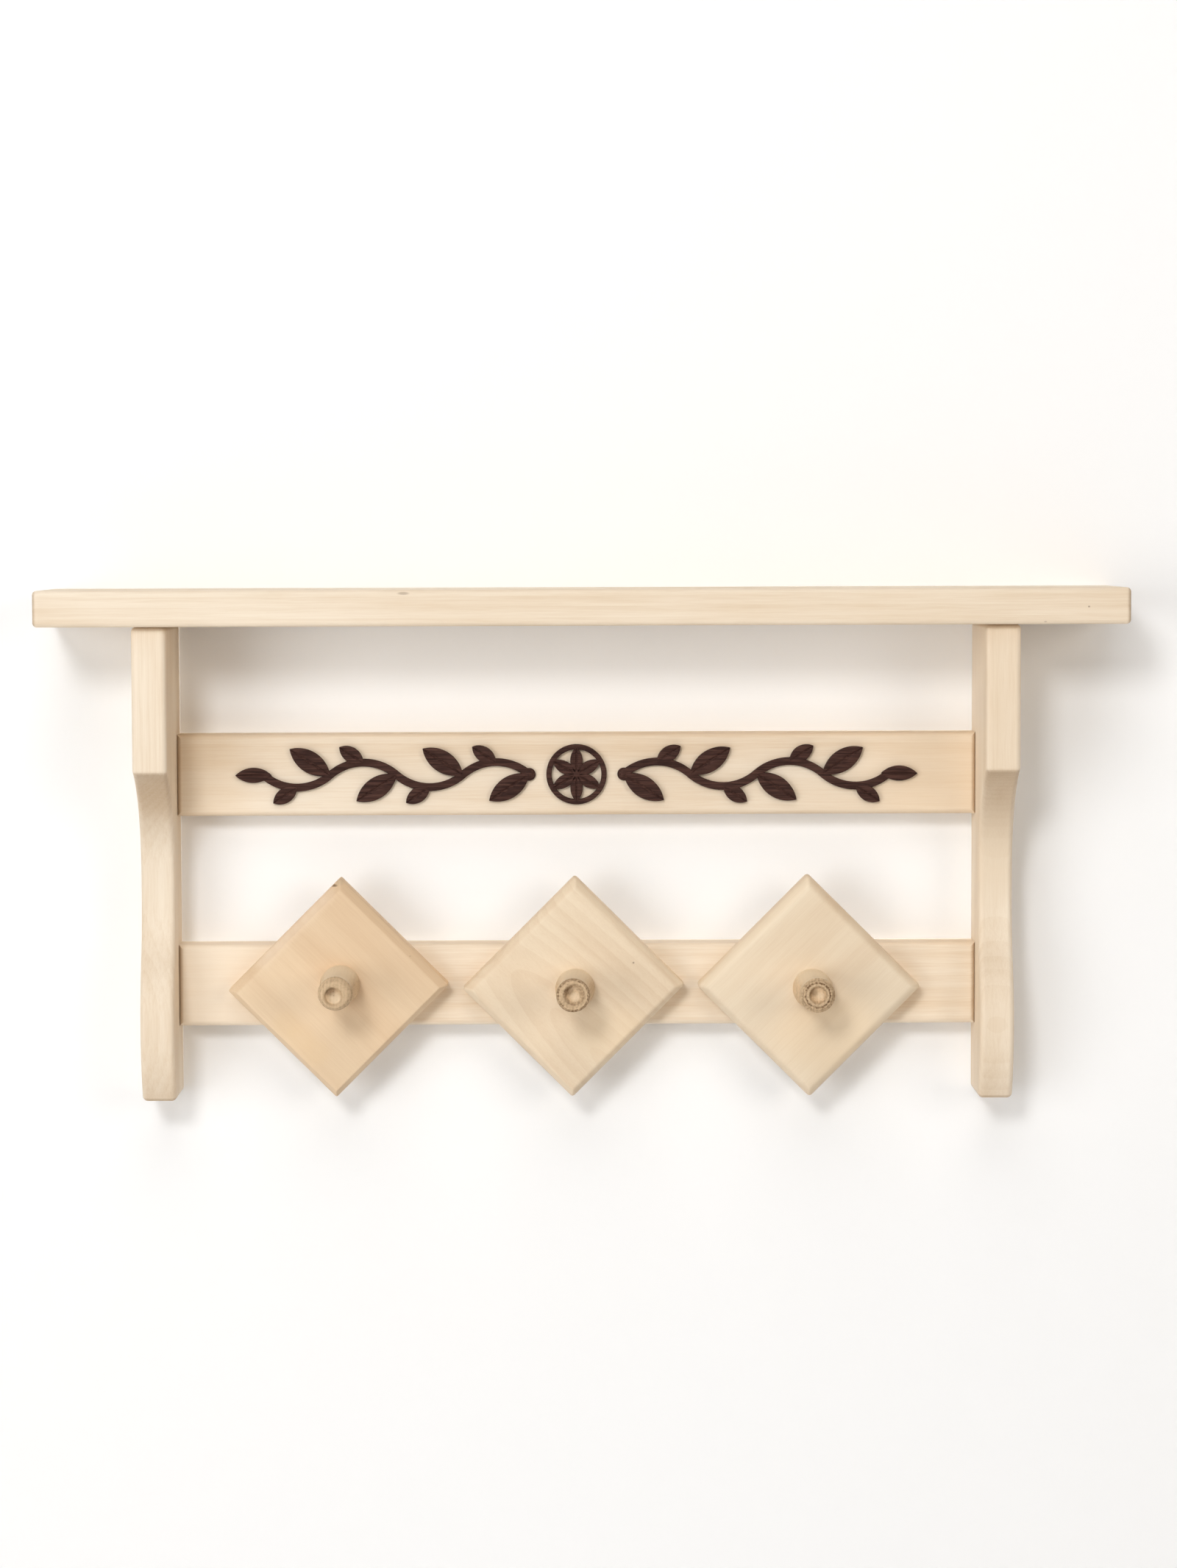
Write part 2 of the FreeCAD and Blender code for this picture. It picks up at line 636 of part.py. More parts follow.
def make_screw(kind, name, length, x, z):
    """A countersunk screw that points forwards, its head flush with the wall line."""
    radius = f"{kind}_screw_radius"
    head_height = f"{kind}_screw_head_height"
    shank = doc.addObject("Part::Cylinder", f"{name}_shank")
    bind(shank, {"Radius": radius, "Height": f"{length} - {head_height}"})
    place(shank, x, f"-({length})", z, ALONG_Y)
    head = doc.addObject("Part::Cone", f"{name}_head")
    bind(head, {"Radius1": radius, "Radius2": f"{kind}_screw_head_radius", "Height": head_height})
    place(head, x, f"-{head_height}", z, ALONG_Y)
    screw = doc.addObject("Part::Fuse", f"{name}_screw")
    screw.Base = shank
    screw.Tool = head
    return screw


def make_plate_screws():
    """Two screws from the back of the lower rail into each plate."""
    screws = []
    for name in peg_places():
        for side, offset in plate_screw_offsets():
            screws.append(make_screw("plate", f"{name}_plate_{side}", "rail_thickness + plate_screw_bite",
                                     f"{peg_x(name)} + {offset}", PEG_HEIGHT))
    new_group("plate_screws", screws)


def make_hanger_screws():
    """Two screws through each hanger plate into its bracket."""
    screws = []
    for side in SIDES:
        for i, z in enumerate(hanger_screw_levels()):
            screws.append(make_screw("hanger", f"{side}_hanger_{i}", "hanger_screw_length",
                                     bracket_x(side), z))
    new_group("hanger_screws", screws)


def make_hanger_plate(side):
    """A keyhole plate with round ends, let in flush with the back edge of its bracket."""
    body = new_body(f"hanger_plate_{side}")
    thickness = "hanger_plate_thickness"
    foot_y = f"-{thickness}"
    add_slot(body, "Additive", f"{side}_hanger_blank", "hanger_width / 2", thickness,
             "0", *hanger_screw_levels())
    add_cylinder(body, "Subtractive", f"{side}_keyhole_entry", "keyhole_entry_radius", thickness,
                 ("0", foot_y, "0"), ALONG_Y)
    add_slot(body, "Subtractive", f"{side}_keyhole_slot", "keyhole_slot_radius", thickness,
             "0", "0", "keyhole_rise")
    for i, z in enumerate(hanger_screw_levels()):
        add_cylinder(body, "Subtractive", f"{side}_hanger_hole_{i}", "hanger_screw_radius + joint_fit",
                     thickness, ("0", foot_y, z), ALONG_Y)
        add_countersink(body, f"{side}_hanger_countersink_{i}", "hanger_screw_radius",
                        "hanger_screw_head_radius", "hanger_screw_head_height", "0", z)
    place(body, bracket_x(side), "0", "0")


def flat_disc(radius, centre=FreeCAD.Vector()):
    """A round face in the XZ plane."""
    return Part.Face(Part.Wire(Part.makeCircle(radius, centre, FreeCAD.Vector(0, -1, 0))))


def flat_leaf(base, tip, width):
    """A pointed leaf between two points of the XZ plane, bounded by two equal arcs."""
    across = (tip - base).cross(FreeCAD.Vector(0, 1, 0)).normalize() * (width / 2)
    middle = (base + tip) / 2
    upper = Part.Arc(base, middle + across, tip).toShape()
    lower = Part.Arc(tip, middle - across, base).toShape()
    return Part.Face(Part.Wire([upper, lower]))


def flat_arch(start, crown, end, width):
    """One half wave of a stem: a band of even width along the arc through three points of the XZ plane."""
    circle = Part.Arc(start, crown, end).toShape().Curve
    spokes = [(point - circle.Center).normalize() for point in (start, crown, end)]
    outer = [circle.Center + spoke * (circle.Radius + width / 2) for spoke in spokes]
    inner = [circle.Center + spoke * (circle.Radius - width / 2) for spoke in spokes]
    edges = [
        Part.LineSegment(inner[0], outer[0]).toShape(),
        Part.Arc(*outer).toShape(),
        Part.LineSegment(outer[-1], inner[-1]).toShape(),
        Part.Arc(*inner).toShape(),
    ]
    return Part.Face(Part.Wire(edges))


def cut_fretwork(label, faces):
    """Join flat faces to one pierced board and set it on the middle of the upper rail's front."""
    depth = FreeCAD.Vector(0, -value("fretwork_thickness"), 0)
    solids = [face.extrude(depth) for face in faces]
    feature = named(doc.addObject("Part::Feature", label), label)
    feature.Shape = solids[0].multiFuse(solids[1:]).removeSplitter()
    place(feature, "0", "-rail_thickness", f"{UPPER_RAIL_BOTTOM} + rail_height / 2")


def make_rosette():
    """A ring filled by pointed petals that meet at a round boss in the middle."""
    radius = value("rosette_radius")
    inner_radius = value("rosette_radius - rosette_ring_width")
    faces = [flat_disc(radius).cut(flat_disc(inner_radius)), flat_disc(value("berry_radius"))]
    for i in range(PETAL_COUNT):
        angle = math.radians(90 + 360 * i / PETAL_COUNT)
        tip = FreeCAD.Vector(math.cos(angle), 0, math.sin(angle)) * ((radius + inner_radius) / 2)
        faces.append(flat_leaf(FreeCAD.Vector(), tip, value("petal_width")))
    cut_fretwork("ornament_rosette", faces)


def make_vine(side):
    """A running vine from the rosette towards the rail's end.

    Each half wave of the stem holds a leaf in its hollow and a bud beyond its crown. A berry is the vine's
    root, and a bud its tip.
    """
    outwards = FreeCAD.Vector(-1 if side == "left" else 1, 0, 0)
    upwards = FreeCAD.Vector(0, 0, 1)
    slant = math.radians(value("leaf_slant"))
    root = value("rosette_radius + vine_gap + berry_radius")
    stem_end = value(f"{RAIL_LENGTH} / 2 - vine_end_margin - bud_length")
    wave = (stem_end - root) / VINE_WAVES
    faces = [flat_disc(value("berry_radius"), outwards * root)]
    for i in range(VINE_WAVES):
        bulge = upwards * (-1) ** i
        start = outwards * (root + i * wave)
        end = start + outwards * wave
        crown = (start + end) / 2 + bulge * value("vine_wave_rise")
        leaf_way = outwards * math.cos(slant) - bulge * math.sin(slant)
        bud_way = outwards * math.cos(slant) + bulge * math.sin(slant)
        faces.append(flat_arch(start, crown, end, value("stem_width")))
        faces.append(flat_leaf(start, start + leaf_way * value("leaf_length"), value("leaf_width")))
        faces.append(flat_leaf(crown, crown + bud_way * value("bud_length"), value("bud_width")))
    tip = outwards * (stem_end + value("bud_length"))
    faces.append(flat_leaf(outwards * (stem_end - value("stem_width")), tip, value("bud_width")))
    cut_fretwork(f"ornament_vine_{side}", faces)


def check_everything():
    """Stop where a feature failed or a sub-part has no sound solid."""
    for thing in doc.Objects:
        if "Invalid" in thing.State or "Error" in thing.State:
            raise RuntimeError(f"{thing.Label} failed: {thing.State}")
    for thing in sub_parts:
        if thing.Shape.isNull() or not thing.Shape.isValid() or not thing.Shape.Solids:
            raise RuntimeError(f"{thing.Label} has no sound solid")


def main():
    make_shelf_board()
    for side in SIDES:
        make_bracket(side)
        make_hanger_plate(side)
        make_vine(side)
    make_rosette()
    make_rail("upper_rail", UPPER_RAIL_BOTTOM)
    drill_lower_rail(make_rail("lower_rail", LOWER_RAIL_BOTTOM))
    for name in peg_places():
        make_peg_plate(name)
        make_peg(name)
    make_shelf_dowels()
    make_rail_dowels("upper_rail_dowels", UPPER_RAIL_BOTTOM)
    make_rail_dowels("lower_rail_dowels", LOWER_RAIL_BOTTOM)
    make_plate_screws()
    make_hanger_screws()

    doc.recompute()
    check_everything()
    os.makedirs("parts", exist_ok=True)
    for thing in sub_parts:
        thing.Shape.exportStep(f"parts/{thing.Label}.step")
        print(f"{thing.Label}: {len(thing.Shape.Solids)} solids, {thing.Shape.Volume:.1f} mm3")


main()
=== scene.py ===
"""Wall shelf with turned pegs: wood finishes, pegs, bevelled plates, fretwork, screws and the stage.

Metres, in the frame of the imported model: X to the right along the wall, Y into the wall, Z up. The wall is
the plane Y = 0.
"""

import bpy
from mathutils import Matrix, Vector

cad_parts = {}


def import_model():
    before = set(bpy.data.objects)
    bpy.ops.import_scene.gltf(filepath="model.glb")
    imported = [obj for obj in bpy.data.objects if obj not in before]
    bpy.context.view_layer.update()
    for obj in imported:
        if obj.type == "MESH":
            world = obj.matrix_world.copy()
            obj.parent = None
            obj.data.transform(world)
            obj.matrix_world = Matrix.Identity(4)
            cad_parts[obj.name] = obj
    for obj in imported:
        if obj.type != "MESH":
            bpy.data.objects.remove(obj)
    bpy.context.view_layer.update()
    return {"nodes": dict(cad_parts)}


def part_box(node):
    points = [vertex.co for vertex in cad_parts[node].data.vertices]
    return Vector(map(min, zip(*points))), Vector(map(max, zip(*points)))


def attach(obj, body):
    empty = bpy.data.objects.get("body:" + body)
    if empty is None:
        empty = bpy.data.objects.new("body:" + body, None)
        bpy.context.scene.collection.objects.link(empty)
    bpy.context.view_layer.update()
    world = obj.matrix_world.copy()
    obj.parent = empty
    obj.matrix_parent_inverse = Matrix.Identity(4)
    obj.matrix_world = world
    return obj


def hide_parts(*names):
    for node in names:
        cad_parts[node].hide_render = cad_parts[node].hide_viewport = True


bl_info = {
    "name": "Wall Shelf with Pegs",
    "version": (1, 0, 0),
    "blender": (4, 5, 0),
    "location": "View3D > Sidebar > Wall Shelf",
    "description": "Dresses the frame of a wooden wall shelf with its finishes, pegs, plates and fretwork",
    "category": "Object",
}

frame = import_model()

import math
from functools import reduce

import bpy
import numpy as np
from bpy.props import FloatProperty, FloatVectorProperty, IntProperty, PointerProperty
from mathutils import Matrix, Vector

MM = 0.001
BODY = "root"
SIDES = ("left", "right")
PEG_NAMES = ("left", "centre", "right")
PICTURE_SIZE = (1600, 2132)
FULL_TURN = 2 * math.pi
SAME_PLACE = 1e-9
SHARP_EDGE = math.radians(38)

RAIL_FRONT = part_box("upper_rail")[0].y
FRETWORK_THICKNESS = RAIL_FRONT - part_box("ornament_rosette")[0].y
PLATE_FRONT, PLATE_BACK = (corner.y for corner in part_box("peg_plate_left"))
PEG_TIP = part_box("peg_left")[0].y
PEG_LENGTH = PLATE_FRONT - PEG_TIP


def middle(node):
    """The middle of a node's box."""
    low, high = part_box(node)
    return (low + high) / 2


# Settings that a user would change

def length(name, description, millimetres):
    """A length."""
    return FloatProperty(name=name, description=description, default=millimetres * MM, unit="LENGTH",
                         precision=5)


def angle(name, description, degrees):
    """An angle."""
    return FloatProperty(name=name, description=description, default=math.radians(degrees), subtype="ANGLE")


def colour(name, description, default):
    """A colour of the scene's linear light."""
    return FloatVectorProperty(name=name, description=description, default=default, subtype="COLOR",
                               min=0, max=1)


def plain(name, description, default):
    """A number without a unit."""
    return FloatProperty(name=name, description=description, default=default)


class ShelfWoodSettings(bpy.types.PropertyGroup):
    board_light: colour("Board light", "Early wood of the shelf, brackets and rails", (0.90, 0.78, 0.625))
    board_dark: colour("Board dark", "Late wood of the shelf, brackets and rails", (0.72, 0.55, 0.37))
    plate_light: colour("Plate light", "Early wood of the peg plates", (0.87, 0.72, 0.535))
    plate_dark: colour("Plate dark", "Late wood of the peg plates", (0.70, 0.51, 0.335))
    peg_light: colour("Peg light", "Smooth turned wood of the pegs", (0.80, 0.59, 0.37))
    peg_dark: colour("Peg dark", "Torn grain of the pegs", (0.23, 0.14, 0.072))
    # Painted light: the colour of the pegs' paler upper sides and dish floors
    peg_painted_light: colour("Peg bleached", "Upper sides and dish floors of the pegs", (0.85, 0.71, 0.52))
    dark_light: colour("Dark wood light", "Fine light streaks of the fretwork", (0.090, 0.040, 0.029))
    dark_dark: colour("Dark wood dark", "Ground of the fretwork's wood", (0.020, 0.007, 0.005))
    ring_spacing: length("Ring spacing", "Distance between two growth rings of the boards", 3.4)
    fibre_depth: length("Fibre depth", "Depth of the planed wood's fibres", 0.025)


class ShelfPlateSettings(bpy.types.PropertyGroup):
    width: length("Width", "Width of the board that the plates are cut from", 89.5)
    bevel_depth: length("Bevel depth", "How far the bevel runs down the edge", 4.6)
    back_easing: length("Back easing", "Rounding of the edges at the back", 0.3)
    corner_radius: length("Corner radius", "Rounding of the plate's upright corners", 0.9)
    plane_waves: length("Plane waves", "Height of the plane's marks on the front", 0.05)


class ShelfPegSettings(bpy.types.PropertyGroup):
    base_radius: length("Base radius", "Radius where the barrel meets the plate", 10.8)
    shoulder_radius: length("Shoulder radius", "Radius where the barrel turns into the neck", 10.1)
    shoulder_length: length("Shoulder length", "Length of the barrel", 17.0)
    barrel_bulge: length("Barrel bulge", "How far the barrel swells beyond a cone", 0.52)
    foot_depth: length("Foot depth", "How far the barrel is let into the plate", 0.2)
    head_length: length("Head length", "Length of the head from the end of the neck", 7.5)
    head_easing: length("Head easing", "Rounding of the head's corners", 0.7)
    tool_mark_pitch: length("Tool mark pitch", "Distance between two marks of the turning tool", 1.3)
    tool_mark_depth: length("Tool mark depth", "Depth of the turning tool's marks", 0.05)
    roughness_depth: length("Roughness depth", "Depth of the rough grain on a peg's end", 0.12)
    pit_depth: length("Pit depth", "Depth of the pits where grain tore out", 0.55)
    pits: IntProperty(name="Pits", description="Number of pits round a peg's end", default=30, min=1)


class ShelfFretworkSettings(bpy.types.PropertyGroup):
    rosette_radius: length("Rosette radius", "Outer radius of the rosette's ring", 17.0)
    ring_width: length("Ring width", "Width of the rosette's ring", 3.0)
    petal_width: length("Petal width", "Width of a petal", 7.0)
    berry_radius: length("Berry radius", "Radius of the boss and of the vines' berries", 3.6)
    vine_gap: length("Vine gap", "Room between the rosette and a vine", 6.0)
    vine_end_margin: length("Vine end margin", "Room between a vine's tip and the rail's end", 33.0)
    wave_rise: length("Wave rise", "Rise of the stem's waves", 7.0)
    stem_width: length("Stem width", "Width of the stem", 4.4)
    leaf_length: length("Leaf length", "Length of a leaf", 27.0)
    leaf_width: length("Leaf width", "Width of a leaf", 12.0)
    leaf_slant: angle("Leaf slant", "Angle of leaves and buds to the rail", 33)
    bud_length: length("Bud length", "Length of a bud", 16.0)
    bud_width: length("Bud width", "Width of a bud", 8.5)
    edge_easing: length("Edge easing", "Rounding of the sawn edges", 0.55)
    vein_depth: length("Vein depth", "Depth of the cut along a leaf's middle", 0.8)
    petals: IntProperty(name="Petals", description="Number of petals in the rosette", default=6, min=3)
    waves: IntProperty(name="Waves", description="Half waves of each vine's stem", default=4, min=1)


class ShelfScrewSettings(bpy.types.PropertyGroup):
    plate_screw_radius: length("Plate screw", "Shank radius of the screws in the plates", 1.75)
    plate_screw_head: length("Plate screw head", "Head radius of the screws in the plates", 3.5)
    plate_screw_head_height: length("Plate screw head height", "Height of the conical head", 1.9)
    plate_screw_spacing: length("Plate screw spacing", "Distance between the two screws of a plate", 44.0)
    hanger_screw_radius: length("Hanger screw", "Shank radius of the screws in the hangers", 1.5)
    hanger_screw_head: length("Hanger screw head", "Head radius of the screws in the hangers", 3.0)
    hanger_screw_head_height: length("Hanger screw head height", "Height of the conical head", 1.4)
    steel: colour("Steel", "Zinc-plated steel of hangers and screws", (0.56, 0.56, 0.55))


class ShelfStageSettings(bpy.types.PropertyGroup):
    camera_place: FloatVectorProperty(name="Camera", description="Place of the camera",
                                      default=(-0.00625, -2.2139, 0.0925), subtype="TRANSLATION")
    camera_yaw: angle("Yaw", "Turn of the camera to the right", 0.34)
    camera_pitch: angle("Pitch", "Tilt of the camera downwards", 3.63)
    camera_roll: angle("Roll", "Turn of the camera about its own axis", 0.19)
    focal_pixels: plain("Focal length", "Focal length in pixels of the full picture", 5300.0)
    key_watts: plain("Key light", "Power of the soft light above the camera", 39.0)
    left_watts: plain("Left light", "Power of the broad light on the left", 40.5)
    right_watts: plain("Right light", "Power of the weak light on the right", 25.5)
    top_watts: plain("Top light", "Power of the broad light overhead", 28.5)
    back_watts: plain("Back light", "Power of the light behind the wall, which only the back gets", 90.0)
    room_light: plain("Room light", "Strength of the light from all around", 0.03)
    room_look: plain("Room look", "How bright the room looks to the camera and in reflections", 0.96)
    wall: colour("Wall", "Colour of the wall", (0.92, 0.92, 0.92))
    wall_lift: plain("Wall lift", "How much whiter than its colour the wall looks to the camera", 1.09)
    floor: colour("Floor", "Colour of the floor", (0.86, 0.855, 0.85))
    floor_glow: plain("Floor glow", "How much brighter than lit the floor looks to the camera", 0.5)
    floor_drop: length("Floor drop", "Depth of the floor below the hangers", 1400.0)


class ShelfSettings(bpy.types.PropertyGroup):
    wood: PointerProperty(type=ShelfWoodSettings)
    plates: PointerProperty(type=ShelfPlateSettings)
    pegs: PointerProperty(type=ShelfPegSettings)
    fretwork: PointerProperty(type=ShelfFretworkSettings)
    screws: PointerProperty(type=ShelfScrewSettings)
    stage: PointerProperty(type=ShelfStageSettings)


def settings():
    """The shelf's settings in the open scene."""
    return bpy.context.scene.wall_shelf


# Surfaces

def grid_faces(rows, columns):
    """Corner numbers of the quads of a grid whose last column joins the first."""
    row = np.arange(rows - 1)[:, None] * columns
    column = np.arange(columns)[None, :]
    after = (column + 1) % columns
    corners = (row + column, row + after, row + columns + after, row + columns + column)
    return np.stack(corners, axis=-1).reshape(-1, 4)


def closed_tube(points):
    """A closed shell from rings of points (rings, around, 3): quads between the rings, a fan on each end.

    A shell is its points, its quads and its triangles.
    """
    rings, around = points.shape[:2]
    column = np.arange(around)
    after = (column + 1) % around
    last_ring = (rings - 1) * around
    first_end, last_end = np.full((2, around), [[rings * around], [rings * around + 1]])
    fans = [
        np.stack([first_end, after, column], axis=-1),
        np.stack([last_end, last_ring + column, last_ring + after], axis=-1),
    ]
    vertices = np.concatenate([points.reshape(-1, 3), points[[0, -1]].mean(axis=1)])
    return vertices, grid_faces(rings, around), np.concatenate(fans)


def closed_ring(points):
    """A closed shell from a grid of points (rings, around, 3) that joins itself both ways."""
    rings, around = points.shape[:2]
    quads = grid_faces(rings + 1, around) % (rings * around)
    return points.reshape(-1, 3), quads, np.empty((0, 3), int)


def circle(steps):
    """Angles round a circle, as one row."""
    return np.linspace(0, FULL_TURN, steps, endpoint=False)[None, :]


def turned(x, y, z, radius, around):
    """A closed shell round an axis along Y, from its rings' centres, depths and radii at each angle."""
    rings = (x + radius * np.cos(around), y, z + radius * np.sin(around))
    return closed_tube(np.stack(np.broadcast_arrays(*rings), axis=-1))


def facing_out(points, quads, triangles):
    """The same shell with its faces turned so that its volume is positive."""
    halves = np.concatenate([quads[:, :3], quads[:, [0, 2, 3]], triangles])
    first, second, third = points[halves.T]
    if np.einsum("ij,ij->", first, np.cross(second, third)) > 0:
        return points, quads, triangles
    return points, quads[:, ::-1], triangles[:, ::-1]


def add_object(name, data):
    """A new object in the scene."""
    item = bpy.data.objects.new(name, data)
    bpy.context.scene.collection.objects.link(item)
    return item


def make_piece(name, shells, material, node):
    """One object from closed shells, which rides on the shelf and stands for a node of the frame."""
    vertices = []
    faces = []
    for shell in shells:
        points, quads, triangles = facing_out(*shell)
        before = sum(map(len, vertices))
        faces += (quads + before).tolist() + (triangles + before).tolist()
        vertices.append(points)
    mesh = bpy.data.meshes.new(name)
    mesh.from_pydata(np.concatenate(vertices).tolist(), [], faces)
    mesh.validate()
    mesh.shade_smooth()
    mesh.set_sharp_from_angle(angle=SHARP_EDGE)
    mesh.materials.append(material)
    piece = add_object(name, mesh)
    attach(piece, BODY)
    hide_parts(node)
    return piece


def paint_node(node, material):
    """Give a node of the frame a material in place of its plain one."""
    mesh = frame["nodes"][node].data
    mesh.materials.clear()
    mesh.materials.append(material)


def eased_line(points, radius, steps=5):
    """A line through points whose inner corners are replaced by short parabolas that start a radius away."""
    points = np.asarray(points, float)
    line = [points[0]]
    share = np.linspace(0, 1, steps)[:, None]
    for before, corner, after in zip(points[:-2], points[1:-1], points[2:]):
        start, end = (
            corner + (other - corner) * min(radius / np.linalg.norm(other - corner), 0.5)
            for other in (before, after)
        )
        line.extend((1 - share) ** 2 * start + 2 * share * (1 - share) * corner + share ** 2 * end)
    line = np.array([*line, points[-1]])
    apart = np.linalg.norm(np.diff(line, axis=0), axis=1) > SAME_PLACE
    return line[np.concatenate([[True], apart])]


# Materials

EVEN = (1, 1, 1)
KNOT = (0.20, 0.11, 0.055)
WARM_PATCH = (0.83, 0.635, 0.41)
END_GRAIN_TINT = (0.63, 0.55, 0.465)
ALONG_X = (0.0, 0.0, 0.0)
ALONG_Z = (0.0, math.radians(90), 0.0)
ALONG_Y = (0.0, 0.0, math.radians(-90))
# The wave texture multiplies its coordinates by this before it takes a wave of them
WAVE_NODE_FACTOR = 20
# How far a board's seed moves its figure along the grain and across it
SEED_STEPS = (0.37, 1.7, 0.9)
# How far each part of a figure darkens planed wood and turned wood; on a peg, two parts are painted shade
PLANED_SHARES = {"tone": 0.40, "fine": (-0.05, 0.10)}
TURNED_SHARES = {"lathe": 0.18, "tone": 0.14, "rings": 0.10, "tears": 0.14, "end": 0.13, "pits": 0.75,
                 "stain_and_painted_light": 0.5, "painted_crease_shade": 0.25}
# How far a peg's upper side and the floor of its dish turn pale with painted light
PAINTED_TOP_LIGHT_SHARE = 0.78
PAINTED_FLOOR_LIGHT_SHARE = 0.42


def add_node(tree, kind, values=None, **options):
    """A shader node with its options set, and its sockets set to values or wired from other sockets."""
    node = tree.nodes.new(f"ShaderNode{kind}")
    for name, option in options.items():
        setattr(node, name, option)
    for name, value in (values or {}).items():
        if isinstance(value, bpy.types.NodeSocket):
            tree.links.new(value, node.inputs[name])
        else:
            node.inputs[name].default_value = value
    return node


def sums(tree, operation, *terms):
    """The output of a Math node."""
    return add_node(tree, "Math", dict(enumerate(terms)), operation=operation).outputs[0]


def total(tree, *terms):
    """The terms added up."""
    return reduce(lambda first, second: sums(tree, "ADD", first, second), terms)


def product(tree, *terms):
    """The terms multiplied."""
    return reduce(lambda first, second: sums(tree, "MULTIPLY", first, second), terms)


def distance(tree, value, place):
    """How far a value is from a place on its scale."""
    return sums(tree, "ABSOLUTE", sums(tree, "SUBTRACT", value, place))


def step(tree, value, low, high, low_result=0.0, high_result=1.0):
    """A smooth step from one result to the other, as value goes from low to high."""
    values = {"Value": value, "From Min": low, "From Max": high, "To Min": low_result, "To Max": high_result}
    return add_node(tree, "MapRange", values, interpolation_type="SMOOTHSTEP").outputs["Result"]


def blend(tree, factor, first, second, how="MIX"):
    """The colour between two colours, each a socket or three numbers."""
    first, second = (shade if isinstance(shade, bpy.types.NodeSocket) else (*shade, 1.0)
                     for shade in (first, second))
    values = {0: factor, 6: first, 7: second}
    return add_node(tree, "Mix", values, data_type="RGBA", blend_type=how).outputs[2]


def stretched(tree, vector, scale, rotation=(0, 0, 0), location=(0, 0, 0)):
    """Coordinates that are scaled, then turned, then moved."""
    values = {"Vector": vector, "Scale": scale, "Rotation": rotation, "Location": location}
    return add_node(tree, "Mapping", values).outputs["Vector"]


def noise(tree, place, scale, detail, location=(0, 0, 0)):
    """Noise of coordinates that are scaled by a number for each axis, then moved."""
    drawn_out = stretched(tree, place, scale, location=location)
    values = {"Vector": drawn_out, "Scale": 1.0, "Detail": detail, "Roughness": 0.55}
    return add_node(tree, "TexNoise", values).outputs["Fac"]


def reach(tree, vector):
    """The length of a vector."""
    return add_node(tree, "VectorMath", {0: vector}, operation="LENGTH").outputs["Value"]


def spot(tree, place, centre, size):
    """A soft spot: 1 at a point of the object, 0 outside an ellipsoid of half lengths in millimetres."""
    half_lengths = [part * MM for part in size]
    moved = [-coordinate / part for coordinate, part in zip(centre, half_lengths)]
    local = stretched(tree, place, [1 / part for part in half_lengths], location=moved)
    return step(tree, reach(tree, local), 0.35, 1.0, 1.0, 0.0)


def empty_tree(owner):
    """The node tree of a new material or world, without any nodes."""
    owner.use_nodes = True
    owner.node_tree.nodes.clear()
    return owner.node_tree


def new_material(name, levels):
    """A material with only its output and a Principled shader set to levels, and the object's coordinates."""
    material = bpy.data.materials.new(name)
    tree = empty_tree(material)
    shader = add_node(tree, "BsdfPrincipled", levels)
    add_node(tree, "OutputMaterial", {"Surface": shader.outputs["BSDF"]})
    place = add_node(tree, "TexCoord").outputs["Object"]
    return material, tree, shader, place


def finish(tree, shader, ground, roughness, height, strength, depth):
    """Wire a shader's colour, its roughness, and the fine relief of a height under its surface."""
    bump = add_node(tree, "Bump", {"Height": height, "Strength": strength, "Distance": depth})
    sockets = {"Base Color": ground, "Roughness": roughness, "Normal": bump.outputs["Normal"]}
    for name, value in sockets.items():
        tree.links.new(value, shader.inputs[name])


def wood_pattern(tree, place, grain, pith, ring_spacing, seed, wander=3.0):
    """The parts of a planed board's figure, from the trunk's own coordinates with X along the grain.

    Growth rings are circles round the pith, a saw tooth of the distance from it, with a wandering phase.
    Fibres are noise drawn out along the grain, in two sizes. The tone is noise as wide as a few rings.
    """
    along, across, through = (seed * part for part in SEED_STEPS)
    trunk = stretched(tree, place, EVEN, grain, pith)
    shifted = stretched(tree, trunk, EVEN, location=(along, 0, 0))
    scale = FULL_TURN / WAVE_NODE_FACTOR / ring_spacing
    values = {"Vector": stretched(tree, shifted, (0.12, 1, 1)), "Scale": scale, "Distortion": wander,
              "Detail": 2.0, "Detail Scale": 0.16, "Detail Roughness": 0.5}
    rings = add_node(tree, "TexWave", values, wave_type="RINGS", rings_direction="X",
                     wave_profile="SAW")
    seeded = stretched(tree, shifted, EVEN, location=(0, across, through))
    return {
        "rings": rings.outputs["Fac"],
        "fibres": noise(tree, seeded, (26, 900, 900), 4.0),
        "fine": noise(tree, seeded, (70, 3200, 3200), 3.0),
        "tone": noise(tree, seeded, (5, 42, 42), 2.0),
    }


